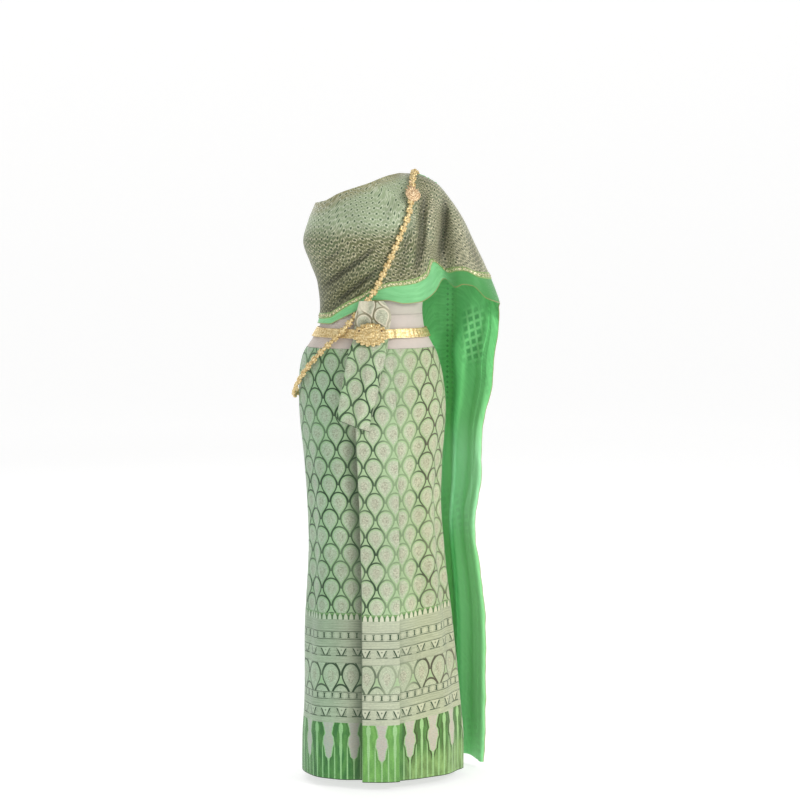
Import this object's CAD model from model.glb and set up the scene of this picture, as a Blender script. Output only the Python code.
import math

import bmesh
import bpy
import numpy as np
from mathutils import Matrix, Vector


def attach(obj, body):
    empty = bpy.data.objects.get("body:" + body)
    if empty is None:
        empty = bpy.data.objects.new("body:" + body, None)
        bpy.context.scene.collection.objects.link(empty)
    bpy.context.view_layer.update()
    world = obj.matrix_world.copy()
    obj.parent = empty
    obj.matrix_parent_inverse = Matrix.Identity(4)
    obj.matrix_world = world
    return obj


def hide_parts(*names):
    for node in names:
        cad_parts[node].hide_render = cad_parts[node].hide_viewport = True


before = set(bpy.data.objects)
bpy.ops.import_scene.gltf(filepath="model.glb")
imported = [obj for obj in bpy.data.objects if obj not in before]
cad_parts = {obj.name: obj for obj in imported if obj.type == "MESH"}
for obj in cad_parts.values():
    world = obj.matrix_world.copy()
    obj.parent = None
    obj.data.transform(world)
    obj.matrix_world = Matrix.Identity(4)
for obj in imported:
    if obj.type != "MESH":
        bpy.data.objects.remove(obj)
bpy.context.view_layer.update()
print("frame loaded:", len(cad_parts), "nodes")

# The dress stands as worn: x to the wearer's left, -y to the front, z up, waist at 0.
# A turn is an angle round the figure: 180 right side, 270 front, 360 left side, 450 back.

# the figure that all the cloth is cut for

figureColumns = ("height", "half", "front", "back", "centre", "leftRound", "rightRound")
figureRows = (
    (-1.010, 0.184, 0.136, 0.134, 0.020, 2.1, 1.55),
    (-0.940, 0.184, 0.134, 0.132, 0.020, 2.1, 1.55),
    (-0.850, 0.178, 0.130, 0.128, 0.019, 2.1, 1.55),
    (-0.670, 0.168, 0.123, 0.121, 0.011, 2.1, 1.6),
    (-0.490, 0.153, 0.116, 0.116, 0.006, 2.1, 1.7),
    (-0.400, 0.151, 0.115, 0.116, 0.001, 2.1, 1.8),
    (-0.305, 0.155, 0.117, 0.119, -0.001, 2.1, 1.9),
    (-0.170, 0.165, 0.120, 0.124, -0.003, 2.1, 2.0),
    (-0.110, 0.162, 0.117, 0.122, -0.006, 2.1, 2.0),
    (-0.057, 0.151, 0.110, 0.114, -0.008, 2.1, 2.0),
    (-0.020, 0.131, 0.097, 0.102, -0.006, 2.1, 2.0),
    (0.010, 0.117, 0.089, 0.091, -0.004, 2.1, 2.0),
    (0.045, 0.113, 0.085, 0.084, -0.003, 2.1, 2.0),
    (0.100, 0.119, 0.093, 0.085, -0.002, 2.1, 2.0),
    (0.148, 0.137, 0.108, 0.090, -0.001, 2.0, 2.0),
    (0.195, 0.153, 0.123, 0.096, 0.000, 2.0, 2.0),
    (0.240, 0.142, 0.120, 0.100, 0.000, 2.0, 2.0),
    (0.300, 0.118, 0.092, 0.100, 0.000, 2.0, 2.0),
    (0.350, 0.105, 0.074, 0.094, 0.000, 2.0, 2.0),
)


def readColumn(rows, columns, name, at):
    # one column of a table, read smoothly between its rows without overshooting
    known = np.array([row[0] for row in rows])
    value = np.array([row[columns.index(name)] for row in rows])
    step = np.diff(known)
    slope = np.diff(value) / step
    tangent = np.zeros(len(known))
    tangent[0] = slope[0]
    tangent[-1] = slope[-1]
    product = slope[:-1] * slope[1:]
    total = np.where(product > 0, slope[:-1] + slope[1:], 1.0)
    tangent[1:-1] = np.where(product > 0, 2 * product / total, 0.0)
    at = np.clip(at, known[0], known[-1])
    row = np.clip(np.searchsorted(known, at) - 1, 0, len(step) - 1)
    f = (at - known[row]) / step[row]
    near = (1 + 2 * f) * (1 - f) ** 2 * value[row] + f * (1 - f) ** 2 * step[row] * tangent[row]
    far = f * f * (3 - 2 * f) * value[row + 1] + f * f * (f - 1) * step[row] * tangent[row + 1]
    return near + far


def ease(low, high, at):
    share = np.clip((at - low) / (high - low), 0.0, 1.0)
    return share * share * (3 - 2 * share)


def figureSize(name, height):
    return readColumn(figureRows, figureColumns, name, height)


def figureRoundness(across, height):
    return np.where(across < 0, figureSize("leftRound", height), figureSize("rightRound", height))


def figureReach(side, height):
    return np.where(side < 0, figureSize("front", height), figureSize("back", height))


def figurePoint(turn, height, out=0.0):
    # a point on the figure's section at one height, moved out
    angle = np.radians(turn)
    across = np.cos(angle)
    ahead = np.sin(angle)
    power = np.where(ahead < 0, 2 / figureRoundness(across, height), 1.0)
    half = figureSize("half", height) + out
    x = figureSize("centre", height) + half * np.sign(across) * np.abs(across) ** power
    y = (figureReach(ahead, height) + out) * np.sign(ahead) * np.abs(ahead) ** power
    return np.stack(np.broadcast_arrays(x, y, height), axis=-1)


def frontTurn(x, height):
    across = (x - figureSize("centre", height)) / figureSize("half", height)
    power = figureRoundness(across, height) / 2
    return 270.0 + np.degrees(np.arcsin(np.sign(across) * np.abs(across) ** power))


def figureDepth(x, height, side, out=0.0):
    # how far the figure reaches to the front (side -1) or the back (side 1) at x
    across = (x - figureSize("centre", height)) / (figureSize("half", height) + out)
    roundness = np.where(side < 0, figureRoundness(across, height), 2.0)
    roundOff = np.clip(1 - np.abs(across) ** roundness, 0.0, 1.0) ** (1 / roundness)
    return (figureReach(side, height) + out) * roundOff


def unit(vectors):
    return vectors / np.linalg.norm(vectors, axis=-1, keepdims=True)


def closedUp(ring):
    return np.concatenate([ring, ring[:1]])


def stepLengths(points):
    return np.linalg.norm(np.diff(points, axis=0), axis=1)


def gridNormals(grid, closed=False, level=False):
    if closed:
        along = np.roll(grid, -1, axis=0) - np.roll(grid, 1, axis=0)
    else:
        along = np.gradient(grid, axis=0)
    normal = np.cross(along, np.gradient(grid, axis=1))
    if level:
        normal[..., 2] = 0.0
    return unit(normal)


def liftedRing(turn, height, out):
    # points on the figure moved out along its own normal
    small = 0.5
    along = figurePoint(turn + small, height) - figurePoint(turn - small, height)
    outward = np.stack([along[..., 1], -along[..., 0], np.zeros(along.shape[:-1])], axis=-1)
    return figurePoint(turn, height) + unit(outward) * np.asarray(out)[..., None]


def creased(creases, a, b):
    # sum of hand-placed creases in a plane: each runs from (a0, b0) to (a1, b1)
    total = np.zeros(np.broadcast(a, b).shape)
    for a0, b0, a1, b1, width, lift in creases:
        runA, runB = a1 - a0, b1 - b0
        length = math.hypot(runA, runB)
        share = ((a - a0) * runA + (b - b0) * runB) / length**2
        away = ((a - a0) * runB - (b - b0) * runA) / length
        away = away + 0.35 * width * np.sin(5.0 * share + 40 * a0)   # never quite straight
        body = np.exp(-((away / width) ** 2))
        total = total + lift * body * ease(-0.15, 0.3, share) * (1 - ease(0.7, 1.15, share))
    return total


# mesh making

def addObject(name, data):
    made = bpy.data.objects.new(name, data)
    bpy.context.scene.collection.objects.link(made)
    return made


def addPiece(name, mesh, replaced=()):
    piece = addObject(name, mesh)
    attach(piece, "root")
    if replaced:
        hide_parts(*replaced)
    return piece


def plainMesh(name, points, faces, finish, sharp=40):
    mesh = bpy.data.meshes.new(name)
    mesh.from_pydata(np.asarray(points).tolist(), [], faces)
    mesh.materials.append(finish)
    mesh.shade_smooth()
    mesh.set_sharp_from_angle(angle=math.radians(sharp))
    return mesh


def capFaces(steps, rings, closed=True):
    # faces over a middle point and rings of points, and a last point if it is closed
    faces = []
    final = 1 + (rings - 1) * steps
    for k in range(steps):
        after = (k + 1) % steps
        faces.append((0, 1 + k, 1 + after))
        for here in range(1, final, steps):
            faces.append((here + k, here + steps + k, here + steps + after, here + after))
        if closed:
            faces.append((final + k, final + steps, final + after))
    return faces


def sheetMesh(name, grid, normal, wall, uv, faceFinishes, backFinish, closed=False, zone=None):
    # a thin cloth shell: the grid is its outer face; faceFinishes are (material, last column);
    # uv is the cloth's flat place in metres and zone how far it is sunk and its share of the columns
    count, width = grid.shape[:2]
    inner = count * width
    points = np.concatenate([grid.reshape(-1, 3), (grid - normal * wall).reshape(-1, 3)])
    here = np.arange(count if closed else count - 1)[:, None] * width
    there = (here + width) % inner
    column = np.arange(width - 1)[None, :]
    a, b = here + column, there + column
    outer = np.stack([a, b, b + 1, a + 1], axis=-1).reshape(-1, 4)
    back = inner + outer[:, ::-1]
    low = np.stack([here, here + inner, there + inner, there], axis=-1).reshape(-1, 4)
    last = width - 1
    high = np.stack([there, there + inner, here + inner, here], axis=-1).reshape(-1, 4) + last
    rims = [low, high]
    if not closed:
        k = np.arange(width - 1)
        end = (count - 1) * width + k
        rims.append(np.stack([k, k + 1, k + 1 + inner, k + inner], axis=-1))
        rims.append(np.stack([end + 1, end, end + inner, end + 1 + inner], axis=-1))
    faces = np.concatenate([outer, back] + rims)
    mesh = bpy.data.meshes.new(name)
    mesh.from_pydata(points.tolist(), [], faces.tolist())
    slots = []
    for finish, _ in list(faceFinishes) + [(backFinish, 0)]:
        mesh.materials.append(finish)
    columnSlot = np.zeros(width - 1, dtype=int)
    for slot, (_, lastColumn) in enumerate(faceFinishes):
        columnSlot[slots[-1] if slots else 0:lastColumn] = slot
        slots.append(lastColumn)
    rowCount = len(here)
    index = np.concatenate([
        np.tile(columnSlot, rowCount),
        np.full(len(back), len(faceFinishes)),
        np.full(len(low), columnSlot[0]),
        np.full(len(high), columnSlot[-1]),
        np.zeros(len(faces) - len(outer) - len(back) - len(low) - len(high), dtype=int),
    ])
    mesh.polygons.foreach_set("material_index", index.astype(np.int32))
    corner = np.zeros(len(mesh.loops), dtype=np.int32)
    mesh.loops.foreach_get("vertex_index", corner)
    for layerName, places in (("cloth", uv), ("zone", zone)):
        if places is not None:
            both = np.concatenate([places.reshape(-1, 2), places.reshape(-1, 2)])
            layer = mesh.uv_layers.new(name=layerName)
            layer.data.foreach_set("uv", both[corner].astype(np.float32).ravel())
    mesh.shade_smooth()
    mesh.set_sharp_from_angle(angle=math.radians(50))
    mesh.validate()
    return mesh


def sayCut(piece, flatPlace):
    # how much cloth shows: mean run along the rows, mean width, and area
    along = np.abs(np.diff(flatPlace[..., 0], axis=0)).sum(axis=0).mean()
    across = np.abs(np.diff(flatPlace[..., 1], axis=1)).sum(axis=1).mean()
    area = sum(polygon.area for polygon in piece.data.polygons) / 2
    print(f"{piece.name}: {along:.3f} by {across:.3f} m, {area:.4f} square metres")


def runLength(grid, axis):
    # distance walked along one axis of a grid, from 0
    step = np.linalg.norm(np.diff(grid, axis=axis), axis=-1)
    start = np.zeros_like(np.take(step, [0], axis=axis))
    return np.cumsum(np.concatenate([start, step], axis=axis), axis=axis)


# node trees written as expressions

class Value:
    # a socket that can be added, multiplied and compared like a number
    def __init__(self, graph, socket):
        self.graph = graph
        self.socket = socket

    def maths(self, operation, *others):
        return self.graph.node("ShaderNodeMath", {"operation": operation}, dict(enumerate((self,) + others)))

    def __add__(self, other):
        return self.maths("ADD", other)

    def __sub__(self, other):
        return self.maths("SUBTRACT", other)

    def __mul__(self, other):
        return self.maths("MULTIPLY", other)

    def __truediv__(self, other):
        return self.maths("DIVIDE", other)

    def __pow__(self, other):
        return self.maths("POWER", other)

    def __neg__(self):
        return self * -1.0

    def __rsub__(self, other):
        return self.graph.node("ShaderNodeMath", {"operation": "SUBTRACT"}, {0: other, 1: self})

    def __rtruediv__(self, other):
        return self.graph.node("ShaderNodeMath", {"operation": "DIVIDE"}, {0: other, 1: self})

    __radd__ = __add__
    __rmul__ = __mul__

    def size(self):
        return self.maths("ABSOLUTE")

    def least(self, other):
        return self.maths("MINIMUM", other)

    def most(self, other):
        return self.maths("MAXIMUM", other)

    def sine(self):
        return self.maths("SINE")

    def cosine(self):
        return self.maths("COSINE")

    def part(self):
        return self.maths("FRACT")

    def near(self):
        # distance to the nearest whole number, 0 to 0.5
        return ((self + 0.5).part() - 0.5).size()

    def offset(self):
        # signed distance to the nearest whole number
        return (self + 0.5).part() - 0.5

    def rise(self, low, high):
        # 0 below low, 1 above high
        return self.graph.node(
            "ShaderNodeMapRange", {"interpolation_type": "SMOOTHSTEP"},
            {"Value": self, "From Min": low, "From Max": high},
        )

    def between(self, low, high, soft):
        return self.rise(low - soft, low + soft) * (1 - self.rise(high - soft, high + soft))


class Graph:
    # builds one node tree
    def __init__(self, tree):
        self.tree = tree

    def feed(self, socket, value):
        if isinstance(value, Value):
            self.tree.links.new(value.socket, socket)
        else:
            socket.default_value = value

    def node(self, kind, settings=None, inputs=None, output=0):
        made = self.tree.nodes.new(kind)
        for key, value in (settings or {}).items():
            if key == "stops":
                self.setStops(made.color_ramp, value)
            else:
                setattr(made, key, value)
        for key, value in (inputs or {}).items():
            self.feed(made.inputs[key], value)
        return Value(self, made.outputs[output])

    def setStops(self, ramp, stops):
        ramp.interpolation = "EASE"
        while len(ramp.elements) < len(stops):
            ramp.elements.new(0.5)
        for element, (place, level) in zip(ramp.elements, stops):
            element.position = place
            element.color = (level, level, level, 1.0)


def tone(red, green, blue):
    # a colour named by its screen values, as the linear colour that shaders use
    linear = [((c / 255 + 0.055) / 1.055) ** 2.4 if c > 10 else c / 255 / 12.92 for c in (red, green, blue)]
    return (*linear, 1.0)


class Finish(Graph):
    # one material: coordinates in metres, colour mixing, and its shader
    def __init__(self, name):
        self.material = bpy.data.materials.new(name)
        self.material.use_nodes = True
        super().__init__(self.material.node_tree)
        self.tree.nodes.clear()
        self.u, self.v, _ = self.apart(self.node("ShaderNodeUVMap", {"uv_map": "cloth"}))
        self.sunk, self.down, _ = self.apart(self.node("ShaderNodeUVMap", {"uv_map": "zone"}))
        self.place = self.node("ShaderNodeTexCoord", None, None, "Object")
        self.x, self.y, self.z = self.apart(self.place)

    def apart(self, vector):
        return [self.node("ShaderNodeSeparateXYZ", None, {0: vector}, k) for k in range(3)]

    def over(self, mask, base, top, blend="MIX"):
        settings = {"data_type": "RGBA", "blend_type": blend}
        return self.node("ShaderNodeMix", settings, {0: mask, 6: base, 7: top}, 2)

    def scaled(self, colour, amount):
        # a colour made lighter or darker by a value
        grey = self.node("ShaderNodeCombineColor", None, {0: amount, 1: amount, 2: amount})
        return self.over(1.0, colour, grey, "MULTIPLY")

    def noise(self, scale, detail=2.0, vector=None, roughness=0.5):
        return self.node(
            "ShaderNodeTexNoise", None,
            {"Vector": vector or self.place, "Scale": scale, "Detail": detail, "Roughness": roughness},
        )

    def cells(self, vector, scale):
        # a random level for each small cell of a plane, 0 to 1
        inputs = {"Vector": vector, "Scale": scale}
        voronoi = self.node("ShaderNodeTexVoronoi", {"voronoi_dimensions": "2D"}, inputs, "Color")
        return self.node("ShaderNodeSeparateColor", None, {0: voronoi}, 0)

    def plane(self, a, b):
        # a flat place for noise that follows the cloth
        return self.node("ShaderNodeCombineXYZ", None, {0: a, 1: b, 2: 0.0})

    def weave(self, pitch):
        # over and under of plain threads, -1 to 1
        turn = 2 * math.pi / pitch
        return (self.u * turn).sine() * (self.v * turn).sine()

    def finish(self, colour, roughness, height=None, distance=0.0005, metallic=0.0, **fixed):
        shader = self.tree.nodes.new("ShaderNodeBsdfPrincipled")
        self.feed(shader.inputs["Base Color"], colour)
        self.feed(shader.inputs["Roughness"], roughness)
        self.feed(shader.inputs["Metallic"], metallic)
        for name, value in fixed.items():
            shader.inputs[name.replace("_", " ")].default_value = value
        if height is not None:
            inputs = {"Height": height, "Strength": 1.0, "Distance": distance}
            bump = self.node("ShaderNodeBump", None, inputs)
            self.feed(shader.inputs["Normal"], bump)
        output = self.tree.nodes.new("ShaderNodeOutputMaterial")
        self.tree.links.new(shader.outputs[0], output.inputs[0])
        return self.material


# cloth finishes

# an onion-shaped bud: where it is widest, how far its round crown and its pointed foot
# reach from there, and its half width, as shares of the repeat
budShape = {"middle": 0.045, "crown": 0.262, "foot": 0.475, "half": 0.388}
# distances from the bud's edge, in metres, where its parts begin and end
budParts = {"line": (0.0001, 0.0031), "rim": -0.0028, "heart": -0.0098, "contour": (-0.0108, -0.0098)}


def budAway(u, v, pitch, rise):
    # distance outside the nearest bud of two rows set half a repeat apart
    half = budShape["half"] * pitch
    nearest = 1.0
    for across, along in ((0.25, 0.5), (0.75, 0.0)):
        x = (u / pitch - across).offset() * pitch
        y = (v / rise - along).offset() - budShape["middle"]
        above = (y / budShape["crown"]).most(0.0)
        down = (-y / budShape["foot"]).most(0.0)
        below = down.least(1.0)
        past = (down - 1.0).most(0.0) * (budShape["foot"] * rise)
        taper = (below * math.pi).cosine() * 0.5 + 0.5
        slope = (below * math.pi).sine() * (half * math.pi / 2 / (budShape["foot"] * rise))
        reach = (x * x + (above * half) ** 2.0 + past * past) ** 0.5
        nearest = ((reach - taper * half) / ((slope * slope + 1) ** 0.5)).least(nearest)
    return nearest


def ogeeCloth(finish, u, v, pitch, rise, colours):
    # rows of buds, each hugged by a dark line, over a pale strip that runs between them;
    # returns colour and how high the weave stands
    uneven = finish.noise(70.0, 2.0)
    worn = finish.noise(9.0, 2.0).rise(0.34, 0.62)
    away = budAway(u, v, pitch, rise) + (uneven - 0.5) * 0.0012
    flecks = finish.cells(finish.plane(u, v), 560.0)
    bud = 1 - away.rise(budParts["rim"] - 0.0003, budParts["rim"] + 0.0004)
    heart = 1 - away.rise(budParts["heart"] - 0.0006, budParts["heart"] + 0.0006)
    contour = away.between(*budParts["contour"], 0.0003)
    faded = 1 - finish.x.between(0.020, 0.092, 0.016) * 0.55
    line = away.between(*budParts["line"], 0.0005) * (0.70 + worn * 0.30) * faded
    strip = away.rise(0.0028, 0.0036)
    colour = finish.over(strip * 0.85, colours["rim"], colours["strip"])
    thread = finish.over(finish.x.rise(0.090, 0.125), colours["line"], colours["lineWarm"])
    colour = finish.over(bud, colour, colours["bud"])
    colour = finish.over(line, colour, thread)
    colour = finish.over(heart * 0.30, colour, colours["heart"])
    colour = finish.over(contour * 0.40, colour, colours["speck"])
    colour = finish.over(bud * flecks.rise(0.60, 0.80) * (0.30 + heart * 0.40), colour, colours["speck"])
    colour = finish.over(bud * (1 - flecks.rise(0.12, 0.30)) * 0.55, colour, colours["shine"])
    raised = bud * (0.45 + flecks * 0.3) + strip * 0.5 - line * 0.5
    return colour, raised


def toothRow(u, v, low, high, pitch):
    # pale pointed petals that stand on a band: 1 where they are
    height = (v - low) / (high - low)
    reach = (1 - height ** 3.0 * 1.1) * 0.36
    return (reach - (u / pitch).near()).rise(-0.02, 0.03)


def triangleRow(u, v, low, high, pitch):
    # hanging triangles between dark strokes over a dashed dark foot; returns dark and pale
    height = (v - low) / (high - low)
    away = (u / pitch).near()
    slant = away - 0.05 - height * 0.27
    stroke = (1 - slant.size().rise(0.036, 0.062)) * height.between(0.10, 0.86, 0.04)
    thin = (1 - (slant - 0.11).size().rise(0.010, 0.026)) * height.between(0.18, 0.62, 0.04) * 0.6
    foot = (1 - height.rise(0.07, 0.13)) * (1 - away.rise(0.33, 0.36))
    seed = 1 - ((away / 0.05) ** 2.0 + ((height - 0.66) / 0.10) ** 2.0).rise(0.6, 1.2)
    inside = (1 - slant.rise(-0.03, -0.01)) * height.rise(0.1, 0.3)
    zone = v.between(low, high, 0.0003)
    return zone * stroke.most(thin).most(foot).most(seed * 0.7), zone * inside


def chainRow(u, v, low, high, pitch):
    # dark upright marks with feet between pale lozenges; returns dark and pale
    height = (v - low) / (high - low)
    away = (u / pitch).near()
    middle = (height - 0.5).size()
    bar = (1 - away.rise(0.075, 0.108)) * (1 - middle.rise(0.28, 0.34))
    feet = (1 - away.rise(0.15, 0.19)) * middle.between(0.26, 0.36, 0.04)
    lozenge = 1 - ((0.5 - away) * 3.4 + middle * 2.2).rise(0.82, 0.98)
    zone = v.between(low, high, 0.0003)
    return zone * bar.most(feet), zone * lozenge


def hangingDrops(finish, u, depth, pitch, width, stops):
    # pendants under a line: stops give their half width on the way down
    half = finish.node("ShaderNodeValToRGB", {"stops": stops}, {0: depth / borderSizes["drops"]}) * width
    across = (u / pitch).near() * pitch
    return 1 - (across - half).rise(-0.0005, 0.0005), across - half


# heights of the skirt's woven border above its hem, and its repeats
borderSizes = {
    "drops": 0.128, "firstBand": 0.141, "lowTriangles": 0.163, "lowStripes": 0.181,
    "lowChain": 0.197, "tallRow": 0.2625, "middleBand": 0.278, "highTriangles": 0.298,
    "highStripes": 0.316, "highChain": 0.333, "plainBand": 0.360, "teeth": 0.3745,
    "triangle": 0.0370, "chain": 0.0188, "tooth": 0.0125, "tallPitch": 0.046, "tallRise": 0.096,
    "dropPitch": 0.0595, "ogeePitch": 0.0455, "ogeeRise": 0.0775,
}
# dark lines along the edges of the bands, and how strong each is
borderRules = {
    "firstBand": 0.3, "lowTriangles": 0.9, "lowStripes": 0.9, "lowChain": 1.0, "tallRow": 0.4,
    "middleBand": 0.3, "highTriangles": 0.9, "highStripes": 0.9, "highChain": 0.9, "plainBand": 0.2,
}
# half widths of the pendants on the way down, as shares of the widest
bigDropStops = (
    (0.0, 0.97), (0.11, 0.74), (0.19, 0.62), (0.27, 0.90), (0.36, 0.97), (0.46, 0.72), (0.51, 0.66),
    (0.58, 0.57), (0.64, 0.20), (0.69, 0.12), (1.0, 0.11),
)
smallDropStops = (
    (0.0, 0.40), (0.06, 0.92), (0.13, 0.96), (0.21, 0.56), (0.30, 0.50), (0.40, 0.66), (0.50, 0.60),
    (0.64, 0.38), (1.0, 0.34),
)
bladeStops = ((0.0, -0.2), (0.27, -0.1), (0.36, 0.30), (0.50, 0.72), (1.0, 0.90))
skirtColours = {
    "strip": tone(174, 202, 154), "line": tone(46, 74, 44),
    "lineWarm": tone(84, 82, 62), "rim": tone(172, 200, 152), "bud": tone(190, 202, 172),
    "heart": tone(206, 190, 172), "speck": tone(150, 152, 128), "shine": tone(220, 224, 200),
    "paleBand": tone(190, 198, 170), "stripe": tone(148, 160, 134), "cream": tone(214, 218, 192),
    "tallRim": tone(188, 200, 168), "dropGround": tone(56, 120, 54), "dropDark": tone(58, 78, 26),
    "dropLight": tone(122, 184, 90), "dropOlive": tone(76, 106, 42), "dropLime": tone(152, 192, 118),
    "drop": tone(194, 194, 182), "dropLine": tone(160, 208, 142), "hem": tone(46, 70, 36),
    "tooth": tone(80, 118, 68), "toothLine": tone(126, 166, 104), "fan": tone(186, 188, 162),
    "fanDeep": tone(150, 152, 124), "fanPale": tone(218, 212, 188), "fanLine": tone(98, 94, 56),
}


def skirtBrocade(name, border=True):
    finish = Finish(name)
    colours, sizes = skirtColours, borderSizes
    u, v = finish.u, finish.v
    if border:
        # the cloth is drawn up a little towards the left side when it is wrapped
        v = v - ((finish.x - 0.055).most(0.0) * 0.14 - (-finish.x - 0.08).most(0.0) * 0.045)
    colour, raised = ogeeCloth(finish, u, v, sizes["ogeePitch"], sizes["ogeeRise"], colours)
    if border:
        colour, raised = skirtBorder(finish, u, v, colour, raised)
        colour = finish.over(1 - finish.v.rise(0.0012, 0.0022), colour, colours["hem"])
        # the cloth is darker where it runs in under the front pleat
        inside = -finish.x - 0.0245 - (finish.z + 0.6).most(0.0) * 0.034
        shade = inside.rise(-0.0006, 0.0006) * (1 - inside.rise(0.000, 0.034))
        shade = shade * (1 - finish.z.rise(-0.26, -0.19))
        colour = finish.over(shade * 0.62, colour, colours["line"])
    else:
        colour = tailTrim(finish, colour)
    # shot silk: cooler towards the right side of the body, warmer towards the left
    warm = finish.x.rise(0.035, 0.115)
    cool = 1 - finish.x.rise(-0.115, -0.02)
    soft = finish.noise(7.0, 2.0).rise(0.35, 0.70)
    colour = finish.over(warm * 0.7, colour, tone(255, 250, 232), "MULTIPLY")
    colour = finish.over(cool * 0.8, colour, tone(206, 234, 226), "MULTIPLY")
    colour = finish.scaled(colour, 0.92 + soft * 0.12)
    threads = finish.noise(700.0, 1.0, finish.plane(finish.u * 0.25, finish.v)).rise(0.3, 0.7)
    colour = finish.scaled(colour, 0.90 + threads * 0.16)
    height = raised * 0.5 + finish.weave(0.0011) * 0.18 + threads * 0.2
    return finish.finish(
        colour, 0.50 - raised * 0.10, height, 0.0006, 0.0,
        Sheen_Weight=0.25, Sheen_Roughness=0.4, Specular_IOR_Level=0.45,
    )


def tailTrim(finish, colour):
    # the folded tail: its hems, and the wrong side of the cloth in the fan above the belt
    colours = skirtColours
    fan = finish.z.rise(0.004, 0.009)
    pitch, rise = borderSizes["ogeePitch"] * 0.92, borderSizes["ogeeRise"] * 0.86
    cosine, sine = math.cos(0.35), math.sin(0.35)
    across, up = finish.x - 0.020, finish.z - 0.030
    fanColours = {
        **colours, "strip": colours["fan"], "line": colours["fanLine"],
        "rim": colours["fanPale"], "bud": colours["fan"], "heart": colours["fanDeep"],
    }
    wrong, _ = ogeeCloth(
        finish, across * cosine + up * sine + pitch * 0.25, up * cosine - across * sine + rise * 0.5,
        pitch, rise, fanColours,
    )
    flap = (1 - finish.x.rise(-0.014, -0.006)) * finish.z.rise(0.040, 0.048)
    wrong = finish.over(flap * 0.8, wrong, colours["fanPale"])
    colour = finish.over(fan, colour, wrong)
    foldLine = finish.u.between(0.0388, 0.0402, 0.0004)
    colour = finish.over(foldLine * 0.55 * (1 - fan), colour, colours["cream"])
    return finish.over((1 - finish.v.rise(0.0014, 0.0026)) * 0.75, colour, colours["line"])


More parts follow.
